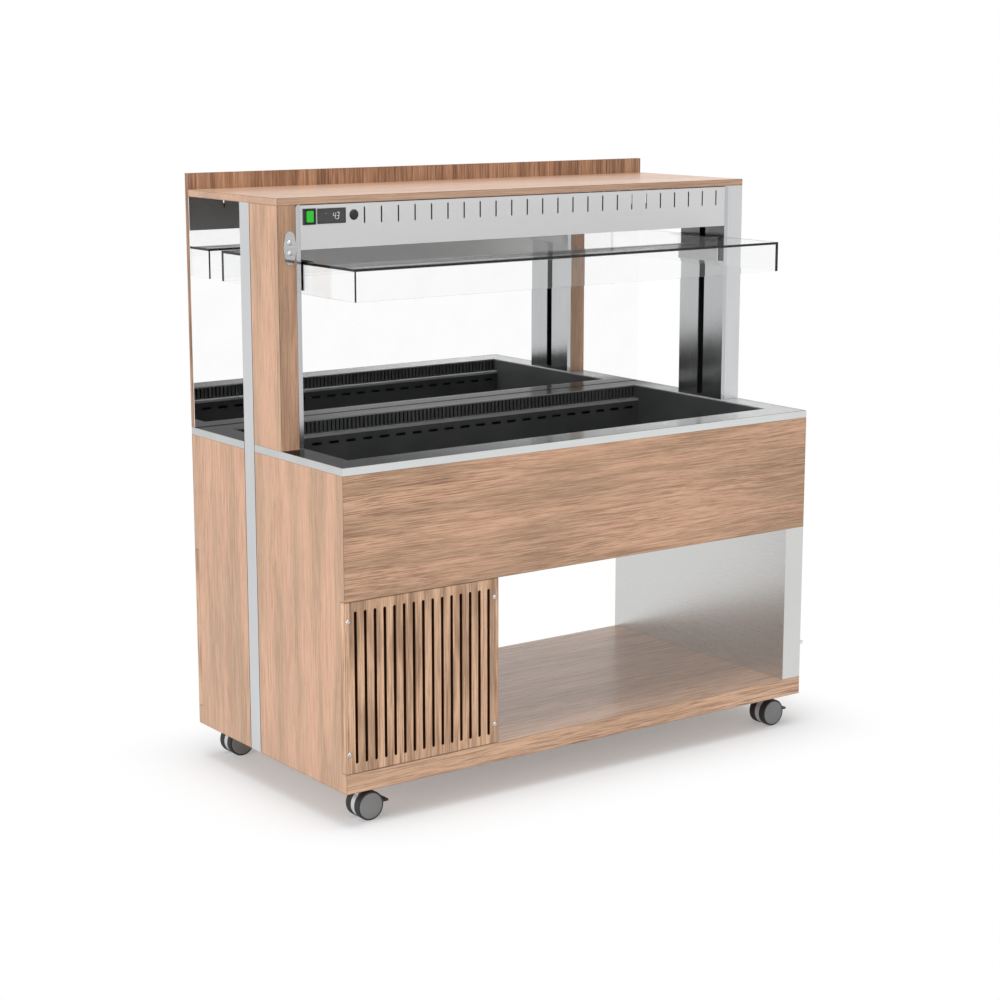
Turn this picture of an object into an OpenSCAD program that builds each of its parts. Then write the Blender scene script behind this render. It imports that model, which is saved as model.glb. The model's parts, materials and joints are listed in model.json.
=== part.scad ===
// Mobile salad bar: a wheeled counter with a chilled well, a glass canopy and a top shelf.
// Millimetres, +Z up. Origin: on the floor, under the middle of the counter. +X right, +Y back.

/* [Counter] */
// Length of the counter, side to side
overall_l = 1450; // [1300:10:1900]
// Depth of the counter, front to back
overall_d = 720; // [680:10:860]
// Height of the worktop above the floor
worktop_h = 867; // [840:1:960]
// Height of the worktop's folded outer edge
worktop_t = 18; // [12:1:30]
// Thickness of the worktop's sheet
worktop_sheet = 3; // [2:0.5:4]
// Thickness of the bottom board
base_t = 48; // [36:1:60]
// Thickness of the wooden side panels, fascias and grilles
panel_t = 19; // [16:1:24]
// Height of the fascias under the worktop
fascia_h = 297; // [280:1:340]
// Gap between neighbouring panels
panel_gap = 2; // [1:0.5:4]

/* [Lower bay] */
// Outer width of the machine compartment
compartment_w = 439; // [400:1:520]
// Thickness of the steel sheet parts
sheet_t = 2; // [1:0.5:3]
// Width of a grille slot
slot_w = 8; // [6:1:14]
// Plain wood at the left and right of the grille slots
slot_side = 25.6; // [18:0.1:40]
// Number of slots in a grille
slot_count = 15; // [9:1:15]
// Plain wood above and below the grille slots
slot_margin = 23; // [20:1:60]
// Distance of the grille screws from the grille's sides
screw_inset_x = 10; // [7:1:12]
// Distance of the grille screws from the grille's top and bottom
screw_inset_z = 48; // [30:1:80]
// Diameter of the dome screw heads
screw_head_d = 12; // [6:0.5:13]
// Diameter of the dome screw shanks
screw_shank_d = 4; // [3:0.5:5]
// Length of the grille screws' shanks
grille_screw_l = 35; // [28:1:45]

/* [Posts] */
// Width of a post, along the counter
post_w = 62; // [56:1:80]
// Depth of a post, front to back
post_d = 178; // [150:2:220]
// Width of the steel tube in a post, along the counter
tube_w = 50; // [44:1:52]
// Depth of the steel tube in a post
tube_d = 46; // [36:1:48]
// Wall of the steel tube
tube_wall = 2.5; // [1.5:0.5:4]
// Thickness of the wooden post cladding
cladding_t = 16; // [12:1:18]
// Width of the lift slot in the post liners
lift_slot_w = 23; // [20:1:28]
// Radius of the liner's rounded top corner
liner_corner_r = 8; // [3:1:10]

/* [Shelf and mirror] */
// Height of the top shelf's upper face above the floor
shelf_h = 1465; // [1440:5:1600]
// Thickness of the top shelf
shelf_t = 17; // [15:1:25]
// Height that the back panel stands above the shelf
upstand_h = 40; // [20:1:80]
// Thickness of the back panel
back_t = 16; // [12:1:22]
// Thickness of the mirror
mirror_t = 4; // [3:0.5:6]
// Gap between the mirror and the edges around it
mirror_gap = 1; // [0.5:0.5:3]

/* [Hood] */
// Height of the hood's front and rear panels
hood_h = 104; // [90:1:130]
// Gap between the hood panels and the shelf
hood_gap = 2; // [0.5:0.5:6]
// Width of the folded lip along a hood panel
hood_lip = 14; // [8:1:20]
// Number of slots in a hood panel
hood_slot_count = 24; // [10:1:24]
// Distance of the first hood slot from the round button's middle
hood_slot_start = 29.5; // [20:0.5:60]
// Width of a hood slot
hood_slot_w = 4; // [3:0.5:6]
// Height of a hood slot
hood_slot_h = 39; // [20:1:50]
// Distance of the hood slots from the hood's top edge
hood_slot_drop = 9; // [6:1:16]
// Distance of the last hood slot from the right post
hood_slot_end = 32; // [20:1:60]
// Length of the lamp under the shelf
lamp_l = 1000; // [600:10:1150]
// Width of the lamp
lamp_w = 32; // [24:1:60]
// Height of the lamp
lamp_h = 40; // [30:1:60]
// Wall of the lamp's housing
lamp_wall = 2; // [1:0.5:4]

/* [Controls] */
// Distance of the control row's middle from the hood's top edge
control_drop = 27; // [24:1:34]
// Distance of the rocker switch's middle from the left post
rocker_x = 25; // [20:1:26]
// Width of the rocker switch's bezel
bezel_w = 34; // [32:1:36]
// Height of the rocker switch's bezel
bezel_h = 38; // [34:1:40]
// How far the bezels stand out of the hood panel
bezel_out = 3; // [2:0.5:5]
// Width of the rocker
rocker_w = 24; // [20:0.5:25]
// Half of the rocker's full swing, in degrees
rocker_tilt = 8; // [5:1:9]
// Distance of the thermostat's middle from the left post
thermostat_x = 86; // [84:1:90]
// Width of the thermostat's front
thermostat_w = 77; // [74:1:80]
// Height of the thermostat's front
thermostat_h = 36; // [30:1:40]
// Depth of the thermostat's body behind the panel
thermostat_d = 52; // [40:1:58]
// Distance of the round button's middle from the left post
button_x = 149; // [142:1:155]
// Diameter of the round button
button_d = 22; // [16:1:24]
// Travel of the round button
button_travel = 3; // [2:0.5:4]

/* [Canopy] */
// Gap between the glass canopy and the posts at its ends
canopy_side_gap = 9; // [8.5:0.5:60]
// Depth of the glass canopy
canopy_d = 622; // [560:2:640]
// Height of the glass canopy
canopy_h = 76; // [72:1:90]
// Thickness of the canopy's glass
canopy_glass = 6; // [4:0.5:8]
// Gap between the raised canopy and the hood above it
canopy_drop = 29; // [24:1:40]
// Gap between the lowered canopy and the worktop
canopy_rest = 3; // [2:1:20]
// Length of a canopy bracket
bracket_l = 160; // [100:2:200]
// Height of a canopy bracket
bracket_h = 62; // [56:1:66]
// Thickness of a canopy bracket
bracket_t = 3; // [2:0.5:5]
// Width of a bracket's top flange
bracket_flange = 28; // [15:1:40]
// Width of the arm that passes through the lift slot
arm_w = 18; // [12:1:19]
// Height of that arm
arm_h = 40; // [30:1:44]

/* [Lift] */
// Width of the carriage that slides in a post
carriage_w = 32; // [26:1:36]
// Depth of that carriage
carriage_d = 26; // [20:1:26]
// Height of that carriage
carriage_h = 64; // [50:1:66]
// Running gap around the carriage
carriage_gap = 0.4; // [0.3:0.05:0.8]
// Wall of the guide rail
rail_wall = 4; // [3:0.5:5]
// Diameter of the gas spring's tube
spring_d = 20; // [18:0.5:22]
// Diameter of the gas spring's rod
rod_d = 8; // [6:0.5:10]

/* [Well] */
// Width of the worktop at the left and right of the well
well_margin = 68; // [66:1:150]
// Width of the opening over the well
well_w = 549; // [500:1:560]
// Depth of the well below the worktop
well_h = 227; // [180:1:240]
// Height of the vent band at the well's top
vent_h = 33; // [20:1:40]
// Thickness of the ribbed vent strips
vent_t = 6; // [4:1:8]
// Distance between the ribs of the vent strips
rib_pitch = 12.5; // [10:0.5:20]
// Width of a gap between ribs
rib_gap = 5; // [4:0.5:7]
// Width of the ledge below the vents
ledge_w = 15; // [10:1:20]
// Height of the ledge's folded lip
ledge_lip = 7; // [4:1:12]
// Distance between the air slots in the well's walls
air_slot_pitch = 52; // [45:1:80]
// Length of an air slot
air_slot_l = 30; // [20:1:40]
// Height of an air slot
air_slot_h = 7; // [3:1:8]
// Distance of the air slots below the worktop
air_slot_drop = 61; // [55:1:90]
// Diameter of the drain pipe
drain_d = 32; // [28:1:40]
// Diameter of the hose tail at the drain pipe's lower end
tail_d = 26; // [22:1:27]
// Length of that hose tail below the bottom board
tail_l = 28; // [20:1:40]

/* [Casters] */
// Height of the counter's underside above the floor
caster_h = 88; // [86:1:100]
// Diameter of a wheel
wheel_d = 72; // [68:1:72]
// Width of a wheel
wheel_w = 20.5; // [16:0.5:24]
// Gap between the two wheels of a caster
wheel_gap = 17; // [16:0.5:22]
// Diameter of the wheel's flat face
wheel_face_d = 64; // [54:1:66]
// Diameter of the wheel axle
axle_d = 8; // [6:0.5:10]
// Distance of the wheel axle behind the swivel axis
caster_trail = 10; // [4:1:16]
// Distance of the swivel axes from the counter's ends
caster_inset_x = 75; // [70:1:110]
// Distance of the front swivel axes from the front
caster_inset_front = 58; // [40:1:90]
// Distance of the rear swivel axes from the back
caster_inset_rear = 44; // [40:1:90]
// Side of the square caster plate
plate_l = 60; // [56:1:76]
// Thickness of the caster plate
plate_t = 3; // [2:0.5:4]
// Distance between the caster screws
plate_hole_pitch = 46; // [40:1:48]
// Diameter of the swivel pin
kingpin_d = 10; // [8:0.5:10]
// How far a brake pedal reaches from the wheel axle
pedal_reach = 58; // [50:1:66]
// Width of a brake pedal
pedal_w = 32; // [20:1:40]

/* [Machinery] */
// Diameter of the compressor
compressor_d = 160; // [120:5:170]
// Height of the compressor
compressor_h = 200; // [150:5:240]
// Wall of the compressor's casing
compressor_wall = 3; // [2:0.5:5]
// Diameter of the condenser fan
fan_d = 190; // [150:5:220]
// Width of the condenser
condenser_w = 320; // [240:5:330]
// Height of the condenser
condenser_h = 280; // [240:5:300]
// Thickness of the condenser
condenser_t = 40; // [25:1:50]
// Diameter of the refrigerant pipes
pipe_d = 10; // [6:1:12]
// Room between the evaporator coil's straight runs and the right post
coil_end_room = 134; // [110:2:300]
// Distance between the runs of the evaporator coil
coil_pitch = 50; // [34:1:56]

/* [Small parts] */
// Width of the oval plate on the left post
oval_w = 36; // [24:1:36]
// Height of the oval plate
oval_h = 78; // [60:1:90]
// Thickness of the oval plate
oval_t = 2; // [1:0.5:4]
// Distance of the oval plate's middle below the shelf's upper face
oval_drop = 117; // [100:1:160]
// Distance between the oval plate's screws
oval_screw_pitch = 25; // [18:1:34]
// Length of the oval plate's screws
oval_screw_l = 12; // [8:1:12]
// Diameter of the side buffers
buffer_d = 10; // [8:1:14]
// How far the side buffers stand out
buffer_out = 12; // [6:1:14]
// Height of the side buffers above the floor
buffer_z = 229; // [160:1:400]

/* [Hidden] */
$fn = 48;

// Colours
wood = "#cfa078";
wood_dark = "#b58864";
wood_light = "#e3bd9a";
steel = "#c4c6c6";
steel_bright = "#d6d8d8";
steel_dark = "#4a4c4c";
black = "#1c1c1c";
copper = "#b87333";
brass = "#c9a24a";
red = "#b03030";
green = "#2bc42b";
grey = "#3a3a3a";
pale = "#e8e8e8";
silver = "#b9bcbe";
rubber = "#232425";
clear = [0.85, 0.9, 0.9, 0.35];

// Levels
base_top = caster_h + base_t;
worktop_z0 = worktop_h - worktop_t;
sheet_z0 = worktop_h - worktop_sheet;
fascia_z0 = worktop_z0 - fascia_h;
shelf_z0 = shelf_h - shelf_t;
hood_z1 = shelf_z0 - hood_gap;
hood_z0 = hood_z1 - hood_h;
hood_end_gap = 0.3;
lamp_z0 = hood_z0 + 2 * sheet_t;
canopy_z1 = hood_z0 - canopy_drop;
canopy_z0 = canopy_z1 - canopy_h;
canopy_travel = canopy_z0 - worktop_h - canopy_rest;
well_z0 = worktop_h - well_h;
vent_z0 = sheet_z0 - vent_h;

// Plan
x_out = overall_l / 2;
y_out = overall_d / 2;
post_y = post_d / 2;
strip_y = post_y - tube_d;
liner_x = x_out - post_w;
flange_w = post_w - tube_w;
back_y = y_out - back_t;
wall_x = -x_out + compartment_w;

// Side panels: lengths of the halves before and behind the tube, and the steel's setback
long_half = y_out + strip_y - panel_gap;
short_half = y_out - post_y - panel_gap;
panel_fit = 0.2;
steel_setback = sheet_t + panel_fit;

// Lift
canopy_x = liner_x - canopy_side_gap;
canopy_y = canopy_d / 2;
bracket_x = canopy_x - canopy_glass;
bracket_z1 = canopy_z1 - canopy_glass;
arm_z0 = bracket_z1 - bracket_h + (bracket_h - arm_h) / 2;
rail_x1 = liner_x + sheet_t;
rail_lip = 3;
rail_w = carriage_w + 2 * (carriage_gap + rail_wall);
rail_d = rail_lip + carriage_d + 2 * carriage_gap + rail_wall;
carriage_x = rail_x1 + rail_lip + carriage_gap;
carriage_z1 = bracket_z1;
carriage_z0 = carriage_z1 - carriage_h;
rod_x = carriage_x + carriage_d / 2;
rod_gap = 0.05;
spring_wall = 2;
spring_room = 8;
spring_z1 = worktop_z0 - spring_room;
piston_h = 10;
spring_cap = 12;
spring_stroke_spare = 8;
spring_z0 = spring_z1 - spring_cap - piston_h - canopy_travel - 2 * spring_stroke_spare;
spring_foot_h = 20;
slot_foot = 8;
slot_head = 32;
slot_z0 = worktop_h + slot_foot;
slot_z1 = hood_z0 + slot_head;

// Controls
control_z = hood_z1 - control_drop;
panel_x0 = -x_out + post_w;
rocker_cx = panel_x0 + rocker_x;
thermostat_cx = panel_x0 + thermostat_x;
button_cx = panel_x0 + button_x;
body_spare = 0.2;
bezel_rim_x = 2.5;
bezel_rim_z = 1.5;
bezel_body_w = bezel_w - 2 * bezel_rim_x;
bezel_body_h = bezel_h - 2 * bezel_rim_z;
thermostat_rim = 3;
thermostat_body_w = thermostat_w - 2 * thermostat_rim;
thermostat_body_h = thermostat_h - 2 * thermostat_rim;
button_cup_wall = 1.5;
button_cup_d = button_d + 2 * button_cup_wall;
rocker_depth = 4;
rocker_pivot_y = -post_y + rocker_depth;
rocker_room = 1.2;
rocker_pin_r = 1.5;
bezel_wall = 1.7;
button_out = 4;
button_cup_l = 20;
button_stop = 2;
button_spare = 0.5;

// Hood slots: middles of the first and the last one
hood_slot_x0 = button_cx + hood_slot_start;
hood_slot_x1 = liner_x - hood_slot_end;
hood_slot_pitch = (hood_slot_x1 - hood_slot_x0) / (hood_slot_count - 1);

// Oval plate
oval_x = -x_out + tube_w - oval_w / 2;
oval_z = shelf_h - oval_drop;

// Casters
wheel_r = wheel_d / 2;
swivel_x = x_out - caster_inset_x;
swivel_y_front = -y_out + caster_inset_front;
swivel_y_rear = y_out - caster_inset_rear;
swivel_gap = 0.3;
wheel_side_gap = 0.5;
housing_w = wheel_gap - 2 * wheel_side_gap;
housing_step = 2;
housing_r = wheel_r - housing_step;
housing_top = caster_h - plate_t - swivel_gap;
housing_neck_z = wheel_d + 1;
kingpin_l = 26;
kingpin_z0 = housing_top - kingpin_l;
running_gap = 0.05;
pedal_arm_w = 9;
pedal_pin_d = 4;
pedal_pin_x = 20;
pedal_pin_rise = 2;
pedal_pin_z = wheel_r + pedal_pin_rise;
pedal_arm_t = 7;
axle_cap = 6;
axle_span = wheel_gap / 2 + wheel_w - axle_cap;
caster_screw_d = 5;
caster_screw_l = 18;

// Fan and condenser
condenser_x0 = -x_out + (compartment_w - condenser_w) / 2;
condenser_foot_h = 20;
condenser_frame = 6;
condenser_room = 12;
fan_x = condenser_x0 + condenser_w / 2;
fan_z = base_top + condenser_foot_h + condenser_h / 2;
condenser_y0 = -y_out + panel_t + condenser_room;
condenser_y1 = condenser_y0 + condenser_t;
fan_gap = 6;
fan_hub_l = 22;
hub_face = 3;
fan_depth = 26;
shroud_wall = 3;
motor_d = 46;
motor_l = 40;
shaft_d = 8;

// Compressor
compressor_room = 60;
compressor_x = -x_out + panel_t + compressor_room + compressor_d / 2;
compressor_y = 60;
compressor_foot_h = 4;

// Drain
drain_inset = 105;
drain_x = wall_x - panel_t - drain_inset;
drain_wall = 2.5;
drain_bore = tail_d - 2 * drain_wall;
valve_rise = 100;
valve_z = base_top + valve_rise;
valve_wall = 6;
valve_r = drain_d / 2 + valve_wall;
lever_gap = 0.3;
lever_pin_d = 8;
lever_hub_l = 6;
lever_l = 80;

// Well: half length, and its inner faces below and above the ledge
well_x = x_out - well_margin;
vent_back = 2;
tank_y = well_w / 2 - ledge_w;
tank_upper_y = well_w / 2 + vent_t + vent_back;

// Cable gland
gland_d = 20;
gland_inset_x = 90;
gland_inset_y = 110;
gland_x = -x_out + compartment_w - gland_inset_x;
gland_y = y_out - gland_inset_y;

// Evaporator coil
coil_runs = 2 * floor((tank_y - pipe_d) / coil_pitch);
drain_flange = 8;
coil_x0 = drain_x + drain_d / 2 + drain_flange + coil_pitch / 2 + pipe_d;
coil_l = liner_x - coil_end_room - coil_x0;
coil_z = well_z0 - sheet_t - pipe_d / 2;
function coil_y(i) = (i - (coil_runs - 1) / 2) * coil_pitch;

// Clearance of a screw, pipe or gland in its hole, on the diameter
hole_gap = 0.4;

// ---- Helpers ----

// Box from one corner to the opposite one
module span(low, high) {
    translate(low) cube(high - low);
}

// A piece for the right-hand end: the same piece turned half round
module turned() {
    rotate([0, 0, 180]) children();
}

// Cylinder along +Y
module along_y(r, length) {
    rotate([-90, 0, 0]) cylinder(r = r, h = length);
}

// Cylinder along +X
module along_x(r, length) {
    rotate([0, 90, 0]) cylinder(r = r, h = length);
}

// Plan of a slab with mitred ends: its long side lies on the outer face
module mitred_plan(length) {
    half = length / 2;
    polygon([[-half, 0], [half, 0], [half - panel_t, panel_t], [-half + panel_t, panel_t]]);
}

// Upright slot with round ends, in the XY plane
module round_slot(w, h) {
    square([w, h - w], center = true);
    for (s = [-1, 1]) translate([0, s * (h - w) / 2]) circle(d = w);
}

// Screw with a domed head: the head's seat is at z = 0, the shank goes down
module dome_screw(length) {
    dome_h = screw_head_d * 0.3;
    dome_r = (pow(screw_head_d / 2, 2) + pow(dome_h, 2)) / (2 * dome_h);
    intersection() {
        translate([0, 0, dome_h - dome_r]) sphere(r = dome_r);
        cylinder(d = screw_head_d, h = dome_h);
    }
    translate([0, 0, -length]) cylinder(d = screw_shank_d, h = length);
}

// Hole for that screw's shank, through everything above and below the seat
module screw_hole(length) {
    spare = 4;
    translate([0, 0, -length - spare]) cylinder(d = screw_shank_d + hole_gap, h = length + 2 * spare);
}

// ---- Cabinet ----

// Half of a side, with its outer face at x = 0 and its outer corner at y = 0.
// The zone between the board and the fascia starts behind whatever closes the bay.
module side_half(length, setback) {
    plan = [[0, 0], [panel_t, panel_t], [panel_t, length], [0, length]];
    translate([0, 0, caster_h]) linear_extrude(base_t) polygon(plan);
    span([0, setback, base_top], [panel_t, length, fascia_z0]);
    translate([0, 0, fascia_z0]) linear_extrude(fascia_h) polygon(plan);
}

module side_front_left() {
    color(wood) difference() {
        translate([-x_out, -y_out, 0]) side_half(long_half, panel_t);
        at_grille_screws() screw_hole(grille_screw_l);
    }
}

module side_rear_left() {
    color(wood) mirror([0, 1, 0]) difference() {
        translate([-x_out, -y_out, 0]) side_half(short_half, panel_t);
        at_grille_screws() screw_hole(grille_screw_l);
    }
}

module side_rear_right() {
    color(wood) turned() translate([-x_out, -y_out, 0]) side_half(long_half, steel_setback);
}

module side_front_right() {
    color(wood) mirror([1, 0, 0]) translate([-x_out, -y_out, 0]) side_half(short_half, steel_setback);
}

// Notches for the left and the right tube: snug on the inner face, a gap at the other faces
module tube_notches() {
    module notch() {
        translate([-x_out - 1, strip_y - panel_gap]) square([tube_w + 1, tube_d + 2 * panel_gap]);
    }
    notch();
    turned() notch();
}

module base_board() {
    inner = x_out - panel_t;
    screw_room = caster_screw_l + 1;
    plan = [[-x_out, -y_out], [x_out, -y_out], [inner, -y_out + panel_t], [inner, y_out - panel_t],
        [x_out, y_out], [-x_out, y_out], [-inner, y_out - panel_t], [-inner, -y_out + panel_t]];
    color(wood) difference() {
        translate([0, 0, caster_h]) linear_extrude(base_t) difference() {
            polygon(plan);
            tube_notches();
            translate([gland_x, gland_y]) circle(d = gland_d + hole_gap);
            translate([drain_x, 0]) circle(d = drain_d + hole_gap);
        }
        at_casters() plate_corners() translate([0, 0, caster_h - 1])
            cylinder(d = caster_screw_d + hole_gap, h = screw_room + 1);
    }
}

module upright() {
    translate([-x_out, strip_y, caster_h]) linear_extrude(shelf_z0 - caster_h) difference() {
        square([tube_w, tube_d]);
        translate([tube_wall, tube_wall]) square([tube_w - 2 * tube_wall, tube_d - 2 * tube_wall]);
    }
}

module uprights() {
    color(steel_bright) {
        upright();
        turned() upright();
    }
}

// Steel leg at the right end: inner face with a front and a rear flange
module end_wall() {
    color(steel) difference() {
        span([liner_x, -y_out, base_top], [x_out, y_out, fascia_z0]);
        span([liner_x + sheet_t, -y_out + sheet_t, base_top - 1],
            [x_out + 1, y_out - sheet_t, fascia_z0 + 1]);
    }
}

module compartment_wall() {
    color(wood_dark) difference() {
        span([wall_x - panel_t, -y_out + panel_t, base_top], [wall_x, y_out - panel_t, fascia_z0]);
        at_grille_screws() screw_hole(grille_screw_l);
        mirror([0, 1, 0]) at_grille_screws() screw_hole(grille_screw_l);
    }
}

module fascia() {
    translate([0, -y_out, fascia_z0]) linear_extrude(fascia_h) mitred_plan(overall_l);
}

module fascia_front() {
    color(wood_dark) fascia();
}

module fascia_rear() {
    color(wood_dark) mirror([0, 1, 0]) fascia();
}

module bay_ceiling() {
    color(steel) span([wall_x - panel_t, -y_out + panel_t, fascia_z0],
        [liner_x, y_out - panel_t, fascia_z0 + sheet_t]);
}

// Louvred wooden panel over the machine compartment
module grille() {
    h = fascia_z0 - base_top - panel_gap;
    slot_h = h - 2 * slot_margin;
    mid_x = -x_out + compartment_w / 2;
    slot_x0 = -compartment_w / 2 + slot_side + slot_w / 2;
    slot_pitch = -2 * slot_x0 / (slot_count - 1);
    difference() {
        translate([mid_x, -y_out + panel_t, base_top + panel_gap / 2 + h / 2]) rotate([90, 0, 0])
            linear_extrude(panel_t) difference() {
                square([compartment_w, h], center = true);
                for (i = [0 : slot_count - 1])
                    translate([slot_x0 + i * slot_pitch, 0]) round_slot(slot_w, slot_h);
            }
        at_grille_screws() screw_hole(grille_screw_l);
    }
}

module at_grille_screws() {
    mid_z = (base_top + fascia_z0) / 2;
    dz = (fascia_z0 - base_top) / 2 - screw_inset_z;
    for (x = [-x_out + screw_inset_x, wall_x - screw_inset_x], s = [-1, 1])
        translate([x, -y_out, mid_z + s * dz]) rotate([90, 0, 0]) children();
}

module grille_front() {
    color(wood_dark) grille();
}

module grille_rear() {
    color(wood_dark) mirror([0, 1, 0]) grille();
}

module dome_screws() {
    color(steel_bright) {
        at_grille_screws() dome_screw(grille_screw_l);
        mirror([0, 1, 0]) at_grille_screws() dome_screw(grille_screw_l);
        at_oval_screws() translate([0, 0, oval_t]) dome_screw(oval_screw_l);
    }
}

// ---- Worktop and well ----

module worktop() {
    rod_hole_d = rod_d + 4;
    x1 = x_out - sheet_t;
    y1 = y_out - sheet_t;
    color(steel) difference() {
        span([-x_out, -y_out, worktop_z0], [x_out, y_out, worktop_h]);
        span([-x1, -y1, worktop_z0 - 1], [x1, y1, sheet_z0]);
        span([-well_x, -well_w / 2, worktop_z0 - 1], [well_x, well_w / 2, worktop_h + 1]);
        translate([0, 0, worktop_z0 - 1]) linear_extrude(worktop_t + 2) tube_notches();
        for (s = [-1, 1]) translate([s * rod_x, 0, worktop_z0]) cylinder(d = rod_hole_d, h = worktop_t + 1);
    }
}

// Open box of sheet steel: walls, a ledge beside each, and plates that close the space behind the ledges
module well_tank() {
    x1 = well_x + sheet_t;
    y1 = tank_y + sheet_t;
    y2 = tank_upper_y + sheet_t;
    z0 = well_z0 - sheet_t;
    air_count = floor((well_x - air_slot_l) / air_slot_pitch);
    color(steel_dark) difference() {
        union() {
            span([-x1, -y1, z0], [x1, y1, well_z0]);
            for (s = [-1, 1]) {
                translate([0, s * (tank_y + sheet_t / 2), (z0 + vent_z0) / 2])
                    cube([2 * x1, sheet_t, vent_z0 - z0], center = true);
                translate([0, s * tank_y, vent_z0 - ledge_lip / 2])
                    cube([2 * x1, 2 * sheet_t, ledge_lip], center = true);
                translate([s * (well_x + sheet_t / 2), 0, (z0 + sheet_z0) / 2])
                    cube([sheet_t, 2 * y2, sheet_z0 - z0], center = true);
                translate([0, s * (tank_y + y2) / 2, vent_z0 - sheet_t / 2])
                    cube([2 * x1, y2 - tank_y, sheet_t], center = true);
                translate([0, s * (y2 - sheet_t / 2), (vent_z0 - sheet_t + sheet_z0) / 2])
                    cube([2 * x1, sheet_t, vent_h + sheet_t], center = true);
            }
        }
        for (i = [-air_count : air_count])
            translate([i * air_slot_pitch, 0, worktop_h - air_slot_drop])
                cube([air_slot_l, 2 * tank_y + 4 * sheet_t, air_slot_h], center = true);
        translate([drain_x, 0, z0 - 1]) cylinder(d = drain_bore, h = sheet_t + 2);
    }
}

// Strip with upright slots between ribs, standing on the tank's ledge
module vent_strip() {
    rib_count = floor((well_x - rib_gap) / rib_pitch);
    edge = 2;
    translate([0, -well_w / 2, vent_z0]) rotate([90, 0, 0]) linear_extrude(vent_t) difference() {
        translate([-well_x, 0]) square([2 * well_x, vent_h]);
        for (i = [-rib_count : rib_count])
            translate([i * rib_pitch - rib_gap / 2, edge]) square([rib_gap, vent_h - 2 * edge]);
    }
}

module vent_strips() {
    color(steel_dark) {
        vent_strip();
        mirror([0, 1, 0]) vent_strip();
    }
}

// Copper tube laid in loops against the underside of the well, with both ends at the left
module evaporator_coil() {
    color(copper) for (i = [0 : coil_runs - 1]) {
        right_bend = i % 2 == 0;
        y = coil_y(i);
        translate([coil_x0, y, coil_z]) along_x(pipe_d / 2, coil_l);
        if (i < coil_runs - 1) translate([coil_x0 + (right_bend ? coil_l : 0), y + coil_pitch / 2, coil_z])
            rotate([0, 0, right_bend ? -90 : 90]) rotate_extrude(angle = 180)
                translate([coil_pitch / 2, 0]) circle(d = pipe_d);
    }
}

// Drain pipe from the well down through the bottom board, with a shut ball valve and a hose tail
module drain_valve() {
    flange_t = 6;
    shut_h = 12;
    shut_top = valve_z + shut_h / 2;
    top = well_z0 - sheet_t;
    foot = caster_h - tail_l;
    color(brass) translate([drain_x, 0, 0]) difference() {
        union() {
            translate([0, 0, foot]) cylinder(d = tail_d, h = tail_l + 1);
            translate([0, 0, caster_h]) cylinder(d = drain_d, h = top - caster_h);
            translate([0, 0, valve_z]) sphere(r = valve_r);
            translate([0, 0, valve_z]) along_y(lever_pin_d / 2, valve_r + lever_gap + lever_hub_l + 1);
            translate([0, 0, top - flange_t]) cylinder(r = drain_d / 2 + drain_flange, h = flange_t);
        }
        translate([0, 0, foot - 1]) cylinder(d = drain_bore, h = valve_z - shut_h / 2 - foot + 1);
        translate([0, 0, shut_top]) cylinder(d = drain_bore, h = top - shut_top + 1);
    }
}

// Lever on the valve's stub: level when the drain is shut, and it turns down to open
module drain_lever() {
    hub_r = 10;
    arm_w = 14;
    arm_t = 4;
    color(red) translate([drain_x, valve_r + lever_gap, valve_z]) difference() {
        union() {
            along_y(hub_r, lever_hub_l);
            span([0, 0, -arm_w / 2], [lever_l, arm_t, arm_w / 2]);
        }
        translate([0, -1, 0]) along_y(lever_pin_d / 2 + running_gap, lever_hub_l + 2);
    }
}

// ---- Machine compartment ----

// Hollow casing with a domed top, welded on a square foot
module compressor() {
    r = compressor_d / 2;
    foot_out = 12;
    dome_h = r / 2;
    shell_h = compressor_h - compressor_foot_h - dome_h;
    color(black) translate([compressor_x, compressor_y, base_top]) {
        span([-r - foot_out, -r - foot_out, 0], [r + foot_out, r + foot_out, compressor_foot_h]);
        translate([0, 0, compressor_foot_h]) difference() {
            union() {
                cylinder(r = r, h = shell_h);
                translate([0, 0, shell_h]) intersection() {
                    sphere(r = r);
                    cylinder(r = r, h = dome_h);
                }
            }
            translate([0, 0, -1]) cylinder(r = r - compressor_wall, h = shell_h + 1);
        }
    }
}

// Finned block with the fan's shroud, motor and fixed shaft behind it
module condenser() {
    fin_pitch = 8;
    fin_t = 1.5;
    shroud_l = fan_gap + fan_depth + fan_gap;
    shroud_r = fan_d / 2 + fan_gap;
    bar_h = 24;
    shaft_y = fan_gap + hub_face + 1;
    z1 = fan_z + condenser_h / 2;
    fins = floor((condenser_w - 2 * condenser_frame) / fin_pitch) - 1;
    fin_x0 = condenser_x0 + condenser_frame;
    color(steel) {
        difference() {
            span([condenser_x0, condenser_y0, base_top], [condenser_x0 + condenser_w, condenser_y1, z1]);
            for (i = [0 : fins])
                translate([fin_x0 + i * fin_pitch, condenser_y0 - 1, z1 - condenser_h])
                    cube([fin_pitch - fin_t, condenser_t + 2, condenser_h - condenser_frame]);
        }
        translate([fan_x, condenser_y1, fan_z]) {
            difference() {
                along_y(shroud_r + shroud_wall, shroud_l);
                translate([0, -1, 0]) along_y(shroud_r, shroud_l + 2);
            }
            translate([-shroud_r - 1, shroud_l - shroud_wall, -bar_h / 2])
                cube([2 * shroud_r + 2, shroud_wall, bar_h]);
            translate([0, shroud_l, 0]) along_y(motor_d / 2, motor_l);
            translate([0, shaft_y, 0]) along_y(shaft_d / 2, shroud_l - shaft_y);
        }
    }
}

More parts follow.
